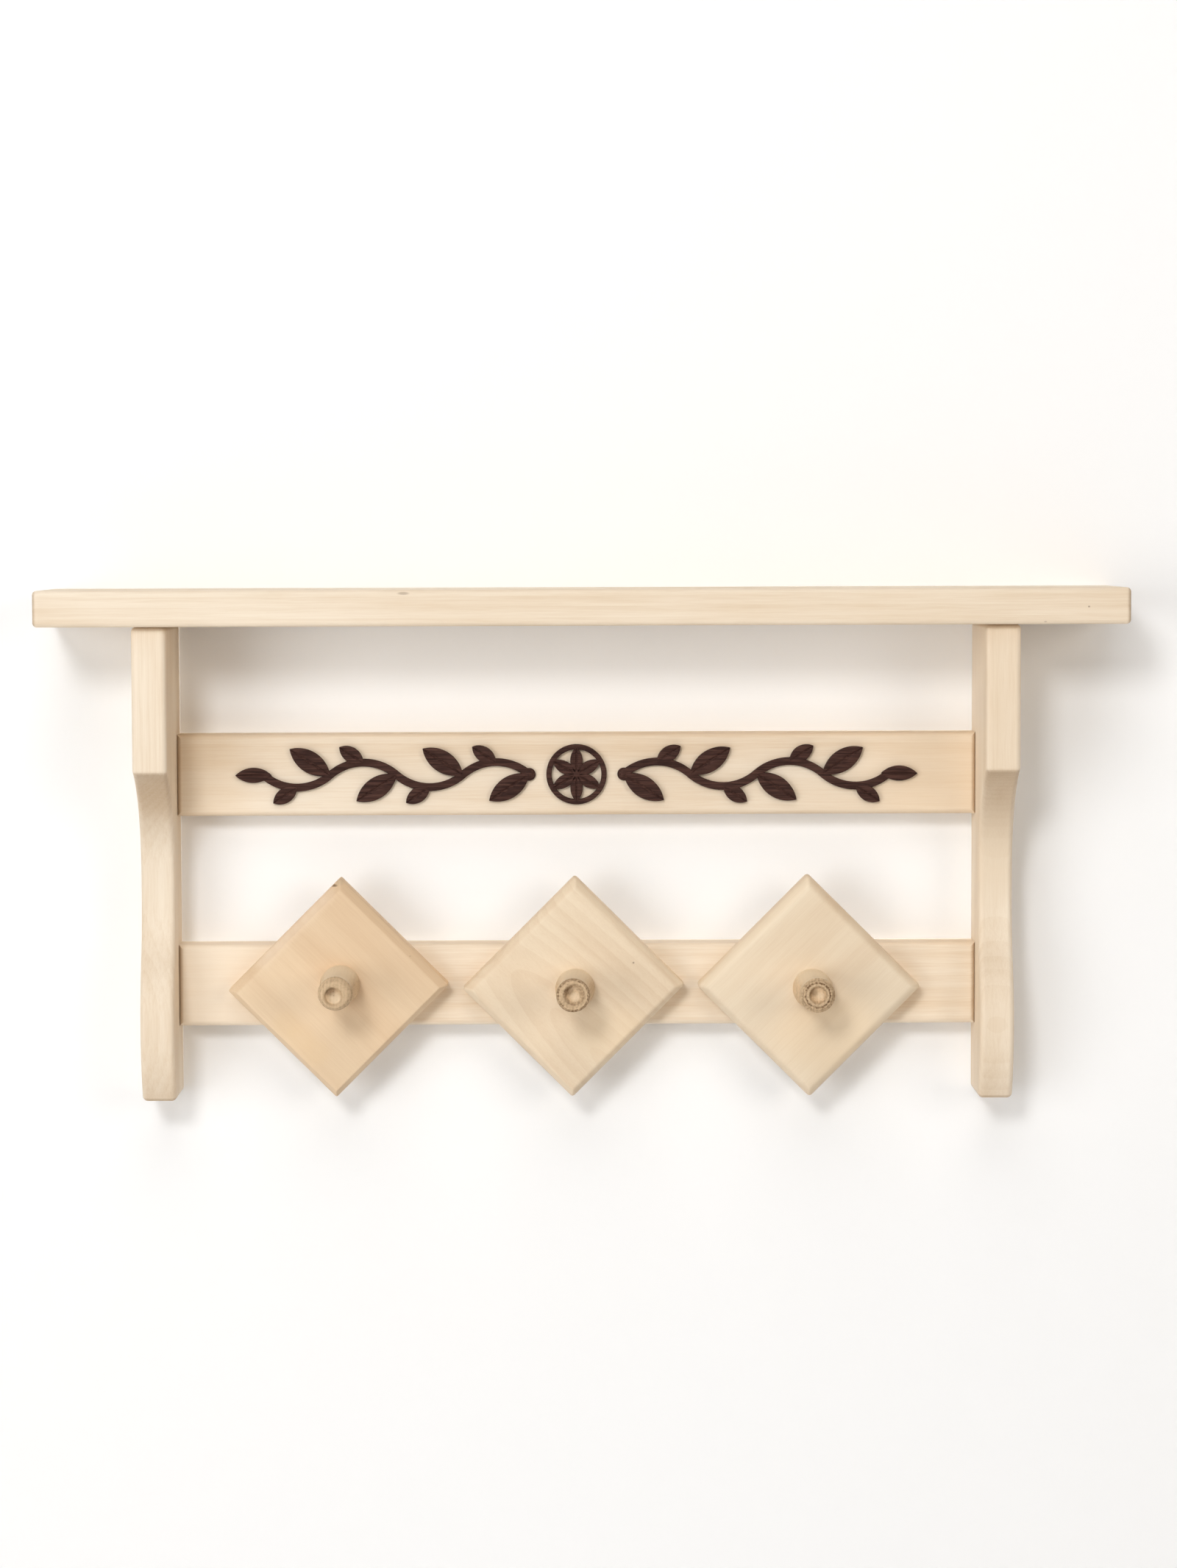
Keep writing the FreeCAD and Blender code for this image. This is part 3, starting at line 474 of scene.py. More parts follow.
def planed_wood(name, light, dark, grain, pith, seed, ring_share=0.16, ring_spacing=None, wander=3.0,
                fibre_share=0.22, end_share=0.74, marks=()):
    """Pale planed wood, unvarnished, which darkens by end_share where the surface cuts across the grain.

    marks are soft spots, each with a centre, half lengths in millimetres, a strength and a colour.
    """
    wood = settings().wood
    material, tree, shader, place = new_material(name, {"Specular IOR Level": 0.32})
    figure = wood_pattern(tree, place, grain, pith, ring_spacing or wood.ring_spacing, seed, wander)
    shade = total(
        tree,
        step(tree, figure["rings"], 0.15, 0.98, 0.0, ring_share),
        step(tree, figure["fibres"], 0.36, 0.72, 0.0, fibre_share),
        step(tree, figure["tone"], 0.30, 0.72, 0.0, PLANED_SHARES["tone"]),
        step(tree, figure["fine"], 0.35, 0.75, *PLANED_SHARES["fine"]),
    )
    ground = blend(tree, shade, light, dark)
    # Marks are knots and tones, and some are painted light and painted shade
    for centre, size, strength, stain_and_painted_light in marks:
        ground = blend(tree, product(tree, spot(tree, place, centre, size), strength), ground, stain_and_painted_light)
    facing = stretched(tree, add_node(tree, "TexCoord").outputs["Normal"], EVEN, grain)
    along_grain = sums(tree, "ABSOLUTE", add_node(tree, "SeparateXYZ", {0: facing}).outputs["X"])
    end_grain = step(tree, along_grain, 0.10, 0.80, 0.0, end_share)
    ground = blend(tree, end_grain, ground, END_GRAIN_TINT, "MULTIPLY")
    roughness = step(tree, figure["fibres"], 0.3, 0.75, 0.52, 0.66)
    height = total(tree, figure["fine"], product(tree, figure["fibres"], 1.4))
    finish(tree, shader, ground, roughness, height, 0.35, wood.fibre_depth)
    return material


def turned_wood(name, axis_x, axis_z, bands, stain_and_painted_light, floor, seed):
    """Rough turned wood: lathe rings along the barrel, a rough end, and dark pits by the torn attribute.

    On the end are dark bands, each with a radius, a half width and a strength: torn grain towards the rim,
    and painted shade on the dish's wall. Two spots, each a place and a radius, are painted shade on the
    dish's upper wall and painted light on its floor. A line of painted shade runs round the crease where the
    head begins, and the upper side is paler with painted light. Lengths on the end are in millimetres.
    """
    wood, shares = settings().wood, TURNED_SHARES
    material, tree, shader, place = new_material(name, {"Specular IOR Level": 0.25})
    figure = wood_pattern(tree, place, ALONG_Y, (0, 0.021 - axis_x, 0.012 - axis_z), 1.9 * MM, seed)
    parts = add_node(tree, "SeparateXYZ", {0: place}).outputs
    from_axis = stretched(tree, place, (1, 0, 1), location=(-axis_x, 0, -axis_z))
    radius = reach(tree, from_axis)
    lathe = noise(tree, place, (0, 1500, 0), 3.0, (0, seed, 0))
    tears = noise(tree, place, (900, 260, 900), 4.0, (seed, 0, seed))
    pits = add_node(tree, "Attribute", attribute_name="torn").outputs["Fac"]

    def before(start, end):
        """1 from the tip to start, and 0 beyond end."""
        return step(tree, parts["Y"], PEG_TIP + start * MM, PEG_TIP + end * MM, 1.0, 0.0)

    ragged = product(tree, before(4.2, 5.4), step(tree, tears, 0.32, 0.60, 0.35, 1.0))

    def in_dish(aside, up, size):
        """A spot in the dish, at offsets from the axis."""
        return spot(tree, place, (axis_x + aside * MM, PEG_TIP + 2.4 * MM, axis_z + up * MM), (size,) * 3)

    def band(ring_radius, half_width, strength):
        """A ragged dark ring on the end."""
        away = distance(tree, radius, ring_radius * MM)
        return product(tree, step(tree, away, 0.3 * half_width * MM, half_width * MM, strength, 0.0), ragged)

    from_head = distance(tree, parts["Y"], PEG_TIP + settings().pegs.head_length)
    shade = total(
        tree,
        step(tree, lathe, 0.35, 0.7, 0.0, shares["lathe"]),
        step(tree, figure["tone"], 0.3, 0.7, 0.0, shares["tone"]),
        step(tree, figure["rings"], 0.2, 1.0, 0.0, shares["rings"]),
        step(tree, tears, 0.45, 0.70, 0.0, shares["tears"]),
        product(tree, before(0.6, 2.6), shares["end"]),
        product(tree, pits, shares["pits"]),
        # Painted shade on the dish's upper wall
        product(tree, in_dish(*stain_and_painted_light), shares["stain_and_painted_light"]),
        # Painted shade in the crease where the head begins
        step(tree, from_head, 0.2 * MM, 0.9 * MM, shares["painted_crease_shade"], 0.0),
        # Dark bands: torn grain towards the rim, painted shade on the dish's wall
        *(band(*sizes) for sizes in bands),
    )
    ground = blend(tree, shade, wood.peg_light, wood.peg_dark)
    # Painted light: the upper side is made paler, where light falls from above
    upper_side = step(tree, parts["Z"], axis_z + 1.0 * MM, axis_z + 8.5 * MM, 0.0, PAINTED_TOP_LIGHT_SHARE)
    painted_light = product(tree, upper_side, sums(tree, "SUBTRACT", 1.0, before(2.0, 3.0)))
    # Painted light on the floor of the dish
    pale = sums(tree, "MAXIMUM", painted_light, product(tree, in_dish(*floor), PAINTED_FLOOR_LIGHT_SHARE))
    ground = blend(tree, pale, ground, wood.peg_painted_light)
    roughness = step(tree, tears, 0.3, 0.7, 0.62, 0.82)
    finish(tree, shader, ground, roughness, total(tree, product(tree, tears, 1.2), lathe), 0.5, 0.09 * MM)
    return material


def dark_wood(name):
    """Dark brown fretwork wood with fine, nearly level pores, a shade lighter than their ground."""
    wood = settings().wood
    material, tree, shader, place = new_material(name, {"Specular IOR Level": 0.14})
    figure = wood_pattern(tree, place, ALONG_X, (0, 0.03, 0.02), 1.6 * MM, 5.0)
    pores = noise(tree, place, (70, 2600, 1700), 3.0)
    fibres = step(tree, figure["fibres"], 0.3, 0.7, 0.0, 0.4)
    shade = total(tree, step(tree, pores, 0.42, 0.66, 0.0, 0.55), fibres)
    ground = blend(tree, shade, wood.dark_dark, wood.dark_light)
    finish(tree, shader, ground, step(tree, pores, 0.35, 0.7, 0.70, 0.55), pores, 0.4, 0.04 * MM)
    return material


def plated_steel(name):
    """Zinc-plated steel: spangled tone, fine scratches across, dull gloss."""
    material, tree, shader, place = new_material(name, {"Metallic": 1.0})
    steel = settings().screws.steel
    darker = np.multiply(steel, 0.62)
    cells = add_node(tree, "TexVoronoi", {"Vector": place, "Scale": 420.0}).outputs["Distance"]
    scratches = noise(tree, place, (2400, 2400, 110), 4.0)
    shade = total(tree, step(tree, cells, 0.1, 0.7, 0.0, 0.35), step(tree, scratches, 0.35, 0.7, 0.0, 0.3))
    roughness = step(tree, scratches, 0.3, 0.7, 0.34, 0.52)
    finish(tree, shader, blend(tree, shade, steel, darker), roughness, scratches, 0.25, 0.02 * MM)
    return material


# Pieces

class SHELF_OT_boards(bpy.types.Operator):
    """Give the shelf board, the brackets and the rails their planed wood"""
    bl_idname = "wall_shelf.boards"
    bl_label = "Finish boards"

    def execute(self, context):
        wood = settings().wood
        light, dark = wood.board_light, wood.board_dark
        warm = np.multiply(dark, (1.0, 0.97, 0.93))
        pale = np.multiply(light, 1.03)
        shelf_low, shelf_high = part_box("shelf_board")
        front = shelf_low.y
        shelf_marks = [
            ((-0.0943, front, shelf_high.z - 2.0 * MM), (4.2, 3.0, 1.1), 0.42, KNOT),
            ((0.2799, front, 0.0536), (0.8, 2.0, 0.7), 0.6, KNOT),
            ((0.2562, front, 0.0454), (1.2, 2.0, 0.5), 0.4, KNOT),
        ]
        # Painted shade on the right bracket's curved underside below its lip
        sweep_painted_shade = ((middle("right_bracket").x, -0.05, -0.085), (20, 40, 40), 0.55, (0.80, 0.645, 0.465))
        # The rail's right end gets a warmer tone; its left end, beside the left bracket, gets painted shade
        upper_rail_tone_and_painted_shade = [
            ((0.215, RAIL_FRONT, -0.050), (75, 40, 50), 0.45, (0.83, 0.63, 0.42)),
            ((-0.21, RAIL_FRONT, -0.041), (35, 40, 50), 0.3, (0.80, 0.61, 0.40)),
        ]
        # Painted light: the lower rail's left end is made paler, where light from the lower left falls on it
        lower_rail_painted_light = ((-0.215, RAIL_FRONT, -0.158), (70, 40, 60), 0.7, pale)
        # Each board's early and late wood, its grain, its pith and what its figure has of its own
        boards = {
            "shelf_board": (light, dark, ALONG_X, (0, 0.13, -0.01),
                            {"ring_spacing": 4.2 * MM, "marks": shelf_marks}),
            "left_bracket": (light, dark, ALONG_Z, (0, 0.09, -0.265), {"ring_share": 0.12}),
            "right_bracket": (pale, dark, ALONG_Z, (0, 0.24, 0.235),
                              {"ring_share": 0.12, "ring_spacing": 2.6 * MM, "fibre_share": 0.14,
                               "marks": [sweep_painted_shade]}),
            "upper_rail": (light, warm, ALONG_X, (0, 0.10, 0.05),
                           {"ring_share": 0.2, "ring_spacing": 5.5 * MM, "wander": 5.0,
                            "marks": upper_rail_tone_and_painted_shade}),
            "lower_rail": (light, warm, ALONG_X, (0, -0.03, 0.21),
                           {"ring_spacing": 5.0 * MM, "marks": [lower_rail_painted_light]}),
        }
        for seed, (node, (early, late, grain, pith, figure)) in enumerate(boards.items(), 1):
            paint_node(node, planed_wood(f"{node}_wood", early, late, grain, pith, seed, **figure))
        dowels = planed_wood("dowel_wood", wood.plate_light, wood.plate_dark, ALONG_X, (0, 0.02, 0), 6.0)
        for node in ("shelf_dowels", "upper_rail_dowels", "lower_rail_dowels"):
            paint_node(node, dowels)
        return {"FINISHED"}


def rounded_rectangle(low, high, radius, side_steps=48, corner_steps=5):
    """Points round a rectangle with round corners, as (points, 2), anticlockwise from the lower right corner.

    Each corner is a quarter circle. Along each side the points follow a cosine, so they crowd at its ends.
    """
    turn = np.linspace(0, math.pi / 2, corner_steps)
    share = ((1 - np.cos(np.linspace(0, math.pi, side_steps + 1))) / 2)[1:-1, None]
    x0, y0 = np.array(low) + radius
    x1, y1 = np.array(high) - radius
    arcs = []
    for i, centre in enumerate(((x1, y0), (x1, y1), (x0, y1), (x0, y0))):
        bearing = turn + (i - 1) * math.pi / 2
        arcs.append(np.array(centre) + radius * np.stack([np.cos(bearing), np.sin(bearing)], axis=-1))
    path = []
    for arc, following in zip(arcs, arcs[1:] + arcs[:1]):
        path.extend([arc, arc[-1] * (1 - share) + following[0] * share])
    return np.concatenate(path)


# The plane's waves on a plate's front: radians a metre and a phase, along the board and across it
PLANE_WAVES = ((190, 1.3), (60, 0.4))


def plate_shell(width, height, bevels, easing, corner_radius, inner_rings=13, innermost=0.02):
    """A bevelled plate about its own middle, as rings of (across, depth, along), the back first.

    The outline is carried through a profile of share and depth: a share of 0 is the outer outline, and of 1
    the front face's outline, drawn in by each side's own bevel. Beyond it the rings shrink to the middle, and
    low waves of the plane, a product of two sines, lie on them.
    """
    plates = settings().plates
    back_easing = plates.back_easing
    thickness = PLATE_BACK - PLATE_FRONT
    left, right, bottom, top = bevels
    outer = rounded_rectangle((-width / 2, -height / 2), (width / 2, height / 2), corner_radius)
    inner = rounded_rectangle((left - width / 2, bottom - height / 2), (width / 2 - right, height / 2 - top),
                              corner_radius * 0.5)
    bevel = (left + right + bottom + top) / 4
    profile = [(back_easing, 0), (0, back_easing), (0, thickness - plates.bevel_depth), (bevel, thickness),
               (3 * bevel, thickness)]
    line = eased_line(profile, easing)
    share, depth = line[:, 0] / bevel, line[:, 1]
    on_bevel = np.minimum(share, 1)[:, None, None]
    shrink = 1 - np.maximum(share - 1, 0)[:, None, None] * bevel / (width / 2)
    rings = (outer * (1 - on_bevel) + inner * on_bevel) * shrink
    inwards = np.linspace(shrink[-1, 0, 0], innermost, inner_rings + 1)[1:, None, None]
    rings = np.concatenate([outer[None] * innermost, rings, inner * inwards])
    depth = np.concatenate([[0], depth, np.full(inner_rings, thickness)])[:, None]
    across, along = rings[..., 0], rings[..., 1]
    (along_rate, along_phase), (across_rate, across_phase) = PLANE_WAVES
    waves = np.sin(along * along_rate + along_phase) * np.sin(across * across_rate + across_phase)
    on_front = depth > thickness - 0.2 * MM
    depth = depth - plates.plane_waves * (1 + waves) / 2 * on_front
    return np.stack([across, np.broadcast_to(depth, across.shape), along], axis=-1)


class SHELF_OT_plates(bpy.types.Operator):
    """Make the three square plates, which stand on a corner behind the pegs"""
    bl_idname = "wall_shelf.plates"
    bl_label = "Make plates"

    # Each plate's bevels on its four sides, their easing and the rounding of its corners, in millimetres
    edges = {
        "left": ((2.8, 4.4, 2.7, 4.4), 0.7, 1.1),
        "centre": ((3.4, 4.2, 3.2, 4.2), 1.5, 1.6),
        "right": ((4.0, 4.0, 3.4, 3.8), 2.2, 2.0),
    }
    # Each plate's warmth, the tilt of its grain in degrees, its pith, and its rings' spacing and share
    figures = {
        "left": ((0.95, 0.885, 0.805), 0.0, (0.0, 0.05, 0.03), 9.0 * MM, 0.05),
        "centre": ((0.99, 1.0, 1.0), 11.3, (0.0, 0.0043, 0.132), 6.0 * MM, 0.18),
        "right": ((0.98, 1.0, 1.01), 0.0, (0.0, 0.09, 0.02), 8.0 * MM, 0.04),
    }
    # A grey corner with a crack, a painted highlight along the upper left bevel, nicks, dots and warm
    # patches:
    # a place across and up in metres, a depth and half lengths in millimetres, a strength and a colour
    marks = {
        "left": [
            (-0.1335, -0.0995, 3.0, (4.2, 6.0, 3.6), 0.40, (0.50, 0.40, 0.27)),
            (-0.1370, -0.1022, 3.0, (3.6, 4.5, 1.1), 0.95, KNOT),
            # Painted highlight along the upper left bevel of the left plate
            *((x, 0.0335 + x, 2.5, (9.0, 5.0, 9.0), 0.27, (0.95, 0.79, 0.63))
              for x in np.linspace(-0.176, -0.141, 8)),
            (-0.0934, -0.1418, 0.0, (1.2, 2.0, 0.8), 0.45, KNOT),
            *((x, -0.343 - x, 0.0, (11.0, 20.0, 11.0), 0.35, (0.79, 0.575, 0.34))
              for x in (-0.163, -0.155, -0.147)),
        ],
        "centre": [
            (0.0315, -0.1460, 0.0, (0.8, 2.0, 0.8), 0.6, KNOT),
            (0.020, -0.187, 0.0, (32.0, 20.0, 22.0), 0.35, WARM_PATCH),
        ],
        "right": [(0.142, -0.186, 0.0, (42.0, 20.0, 32.0), 0.40, WARM_PATCH)],
    }

    def execute(self, context):
        """Turn each plate about its middle by an eighth of a turn and set it on the rail."""
        wood = settings().wood
        width = settings().plates.width
        corner_loss = settings().plates.corner_radius * (math.sqrt(2) - 1)
        for i, name in enumerate(PEG_NAMES):
            node = f"peg_plate_{name}"
            low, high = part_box(node)
            height = (high.x - low.x + 2 * corner_loss) * math.sqrt(2) - width
            lean = math.radians(45 if name == "right" else -45)
            bevels, easing, corner_radius = self.edges[name]
            shell = plate_shell(width, height, np.multiply(bevels, MM), easing * MM, corner_radius * MM)
            across, depth, along = np.moveaxis(shell, -1, 0)
            centre = middle(node)
            points = np.stack([
                centre.x + across * math.cos(lean) + along * math.sin(lean),
                PLATE_BACK - depth,
                centre.z + along * math.cos(lean) - across * math.sin(lean),
            ], axis=-1)
            warmth, tilt, pith, spacing, ring_share = self.figures[name]
            light, dark = (np.multiply(shade, warmth) for shade in (wood.plate_light, wood.plate_dark))
            marks = [((x, PLATE_FRONT + deep * MM, z), *rest) for x, z, deep, *rest in self.marks[name]]
            grain = (0, lean, math.radians(tilt))
            material = planed_wood(f"{node}_wood", light, dark, grain, pith, 10 + i, ring_share, spacing,
                                   fibre_share=0.10, end_share=0.1, marks=marks)
            make_piece(f"{node}_bevelled", [closed_tube(points)], material, node)
        return {"FINISHED"}


def evenly(line, spacing):
    """Points along a line of points, about evenly spaced."""
    way = np.concatenate([[0], np.cumsum(np.linalg.norm(np.diff(line, axis=0), axis=1))])
    stops = np.linspace(0, way[-1], int(way[-1] / spacing) + 1)
    return np.stack([np.interp(stops, way, line[:, i]) for i in range(2)], axis=-1)


def peg_profile(neck_hollow, end, end_spacing=0.22 * MM):
    """Distance from the plate and radius along a peg: barrel, hollow neck, then the points of its end.

    Barrel and neck are cones with a shallow arc added or taken off. The end's points are distances back from
    the tip and radii, in millimetres, and its corners are eased.
    """
    pegs = settings().pegs
    neck_end = PEG_LENGTH - pegs.head_length
    end = np.array(end) * MM
    head_radius = end[0, 1]
    share = np.linspace(0, 1, 40)

    def cone(start, stop, first_radius, last_radius, bulge):
        """A straight taper plus a parabola, 4 b s (1 - s), of the share s of the way."""
        radius = first_radius + share * (last_radius - first_radius) + 4 * bulge * share * (1 - share)
        return np.stack([start + share * (stop - start), radius], axis=-1)

    barrel = cone(0, pegs.shoulder_length, pegs.base_radius, pegs.shoulder_radius, pegs.barrel_bulge)
    neck = cone(pegs.shoulder_length, neck_end, pegs.shoulder_radius, head_radius, -neck_hollow)
    corners = np.stack([PEG_LENGTH - end[:, 0], end[:, 1]], axis=-1)
    head = evenly(eased_line([(neck_end, head_radius), *corners], pegs.head_easing, 6), end_spacing)
    foot = [(-pegs.foot_depth, pegs.base_radius * 0.5), (-pegs.foot_depth, pegs.base_radius)]
    return np.concatenate([foot, barrel, neck[1:], head[1:]])


def torn_grain(line, around, pit_radius, seed):
    """Depth shares of the pits where grain tore out of a peg's end, on the grid of its profile and angles.

    Each pit is a bell curve of the distance from its own seeded place on a ring of about pit_radius.
    """
    pits = settings().pegs.pits
    chance = np.random.default_rng(seed)
    places = FULL_TURN * (np.arange(pits) + chance.uniform(-0.4, 0.4, pits)) / pits
    radii = pit_radius + chance.uniform(-0.35, 0.35, pits) * MM
    widths = chance.uniform(0.30, 0.62, pits) * MM
    depths = chance.uniform(0.25, 1.0, pits)
    along, radius = line[:, 0][:, None, None], line[:, 1][:, None, None]
    turn = (around.ravel()[None, :, None] - places + math.pi) % FULL_TURN - math.pi
    away = (turn * radius) ** 2 + (radius - radii) ** 2
    near_tip = along > PEG_LENGTH - 3.2 * MM
    return (depths * np.exp(-away / widths ** 2) * near_tip).max(axis=-1)


class SHELF_OT_pegs(bpy.types.Operator):
    """Make the three turned pegs"""
    bl_idname = "wall_shelf.pegs"
    bl_label = "Make pegs"

    # Each peg's hollow neck, the points of its end, and the radius and strength of its ring of pits. Lengths
    # in these three tables are in millimetres.
    turnings = {
        "left": (0.8, ((4.9, 9.6), (2.6, 9.5), (0.8, 8.5), (0.0, 7.0), (0.0, 5.6), (0.5, 4.8), (2.2, 4.0),
                       (2.7, 2.6), (2.5, 0.2)), 8.0, 0.35),
        "centre": (0.7, ((4.9, 9.5), (0.9, 9.4), (0.0, 8.7), (0.0, 6.3), (0.4, 5.6), (3.0, 3.6), (3.5, 2.6),
                         (3.5, 0.2)), 8.3, 1.0),
        "right": (1.3, ((4.6, 9.7), (2.3, 9.7), (0.6, 7.5), (0.9, 7.0), (0.1, 6.4), (0.0, 5.3), (0.6, 4.7),
                        (3.2, 3.6), (3.7, 2.6), (3.7, 0.2)), 6.9, 1.0),
    }
    # How far the root, the tip and the dish of each peg are off its axis, to the right and up
    offsets = {
        "left": ((0.1, 0.2), (-0.4, 0.1), (-0.9, -1.5)),
        "centre": ((0.6, -0.5), (-0.8, 0.5), (0.6, 0.4)),
        "right": ((-0.5, -0.6), (-0.1, 0.4), (0.2, 0.2)),
    }
    # Dark bands on each end, with a radius, a half width and a strength: torn grain towards the rim and
    # painted shade on the dish's wall. Then a spot of painted shade on the dish's upper wall and a spot of
    # painted light on its floor, each with offsets to the right and up and a radius
    end_bands_and_painted_light = {
        "left": (((9.4, 0.8, 0.25),), (-2.4, 1.4, 4.2), (0.4, -2.8, 4.4)),
        "centre": (((8.6, 1.1, 0.40), (6.3, 1.6, 0.22), (4.5, 1.4, 0.35)), (-2.0, 2.0, 4.0),
                   (1.1, -1.1, 3.8)),
        "right": (((8.6, 1.6, 0.40), (6.9, 0.7, 0.45), (5.6, 1.5, 0.22), (4.2, 1.0, 0.20)), (-2.0, 1.4, 3.6),
                  (1.4, -0.5, 3.2)),
    }
    # The rough end is a mean of sines: waves in a turn, radians a metre of radius, and a step for each peg
    rough_waves = ((23, 900, 1), (41, -1700, 2), (9, 2600, 0))
    # The radii between which the end's rings move from the head's centre to the dish's
    dish_rim = 8.5 * MM
    dish_edge = 5.4 * MM
    # How far the turning tool's marks waver in a turn, in radians of a mark
    waver = 0.35

    def execute(self, context):
        """Turn each profile round its axis. Tool marks, rough grain and pits move it along its normal."""
        pegs = settings().pegs
        around = circle(144)
        for i, name in enumerate(PEG_NAMES):
            node = f"peg_{name}"
            neck_hollow, end, pit_radius, pit_share = self.turnings[name]
            root, tip, dish = self.offsets[name]
            line = peg_profile(neck_hollow * MM, end)
            direction = np.gradient(line, axis=0)
            direction /= np.linalg.norm(direction, axis=1)[:, None]
            along, radius = line[:, :1], line[:, 1:]
            on_side = (along > 0.5 * MM) & (along < PEG_LENGTH - 1.5 * MM)
            on_end = np.clip((along - PEG_LENGTH + 4 * MM) / (2 * MM), 0, 1)
            marks = np.sin(along * FULL_TURN / pegs.tool_mark_pitch + i + self.waver * np.sin(around + i))
            rough = sum(np.sin(turns * around + waves * radius + share * i)
                        for turns, waves, share in self.rough_waves) / len(self.rough_waves)
            torn = pit_share * torn_grain(line, around, pit_radius * MM, i + 1)
            lift = -pegs.tool_mark_depth * on_side * (1 + marks) / 2
            lift = lift - on_end * (pegs.roughness_depth * (1 + rough) / 2 + pegs.pit_depth * torn)
            outward = radius + lift * direction[:, :1]
            share = along / PEG_LENGTH
            in_dish = on_end * np.clip((self.dish_rim - radius) / (self.dish_rim - self.dish_edge), 0, 1)
            centre = middle(node)
            axis_x, axis_z = (
                place + (start * (1 - share) + stop * share + hollow * in_dish) * MM
                for place, start, stop, hollow in zip((centre.x, centre.z), root, tip, dish)
            )
            forward = along - lift * direction[:, 1:]
            shell = turned(axis_x, PLATE_FRONT - forward, axis_z, outward, around)
            material = turned_wood(f"{node}_wood", centre.x + tip[0] * MM, centre.z + tip[1] * MM,
                                   *self.end_bands_and_painted_light[name], 3.0 * i + 1.0)
            piece = make_piece(f"{node}_turned", [shell], material, node)
            attribute = piece.data.attributes.new("torn", "FLOAT", "POINT")
            attribute.data.foreach_set("value", np.concatenate([torn.ravel(), [0, 0]]))
        return {"FINISHED"}


# Heights of stems and buds as shares of the fretwork's thickness, and a vein's half width as one of a leaf's
STEM_SHARE = 0.9
BUD_SHARE = 0.97
VEIN_SHARE = 0.16
# How far short of a point leaves stop, in radians of the cosine that spaces their rows
BLUNT_TIP = 0.02


def relief(points, sideways, half_width, heights):
    """A grid along a line on the rail: an eased section carried along points (n, 2) of the XZ plane.

    The section runs from one foot over the eased edges to the other foot. It is half_width (n) wide to each
    side, along sideways (n, 2), and heights gives its rows of width share and height. One width or one
    sideways serves for all points.
    """
    share, height = heights
    widths = np.reshape(half_width, (-1, 1)) * share
    flat = points[:, None] + sideways[:, None] * widths[..., None]
    y = np.broadcast_to(RAIL_FRONT - height, flat.shape[:2])
    return np.stack([flat[..., 0], y, flat[..., 1]], axis=-1)


def section(thickness, half_width, vein=0.0):
    """Width shares and heights of a sawn board's section with eased edges and, in its middle, a cut vein."""
    points = [(-1, 0), (-1, thickness), (-VEIN_SHARE, thickness), (0, thickness - vein),
              (VEIN_SHARE, thickness), (1, thickness), (1, 0)]
    line = eased_line(np.array(points) * (half_width, 1), settings().fretwork.edge_easing, 4)
    return np.clip(line[:, 0] / half_width, -1, 1), line[:, 1]


def arc_radius(chord, rise):
    """The radius of an arc from its chord and its rise."""
    return (chord ** 2 / 4 + rise ** 2) / (2 * rise)


def leaf_shell(base, tip, width, thickness):
    """A pointed leaf: the half width along it is that of two equal arcs, and the middle has a vein."""
    share = (1 - np.cos(np.linspace(BLUNT_TIP, math.pi - BLUNT_TIP, 40))) / 2
    span = tip - base
    chord = np.linalg.norm(span)
    radius = arc_radius(chord, width / 2)
    half_width = np.sqrt(radius ** 2 - ((share - 0.5) * chord) ** 2) - (radius - width / 2)
    sideways = np.array([[-span[1], span[0]]]) / chord
    heights = section(thickness, width / 2, settings().fretwork.vein_depth)
    return closed_tube(relief(base + share[:, None] * span, sideways, half_width, heights))


def stem_shell(arches, width, thickness):
    """A wavy stem: a band of even width along arcs, each through three points, bulging to alternate sides."""
    lines = []
    sides = []
    for i, (start, crown, end) in enumerate(arches):
        chord, out = end - start, crown - (start + end) / 2
        span, rise = np.linalg.norm(chord), np.linalg.norm(out)
        radius = arc_radius(span, rise)
        half_turn = math.asin(span / 2 / radius)
        turn = np.linspace(-half_turn, half_turn, 24)[min(i, 1):, None]
        outwards = np.sin(turn) * chord / span + np.cos(turn) * out / rise
        lines.append(crown + radius * (outwards - out / rise))
        sides.append(outwards * (-1) ** i)
    points, sideways = np.concatenate(lines), np.concatenate(sides)
    return closed_tube(relief(points, sideways, width / 2, section(thickness, width / 2)))


def ring_shell(centre, radius, width, thickness):
    """A flat ring with eased edges: the section carried once round the centre."""
    around = circle(96)[0]
    outwards = np.stack([np.cos(around), np.sin(around)], axis=-1)
    middle_line = centre + outwards * (radius - width / 2)
    return closed_ring(relief(middle_line, outwards, width / 2, section(thickness, width / 2)))


def boss_shell(centre, radius, thickness):
    """A round boss: an upright side, a sloping shoulder and a flat crown, eased and turned."""
    corners = [(radius, 0), (radius, thickness * 0.72), (radius * 0.45, thickness),
               (radius * 0.05, thickness)]
    profile = eased_line(corners, radius * 0.5, 8)
    return turned(centre[0], RAIL_FRONT - profile[:, 1:], centre[1], profile[:, :1], circle(48))


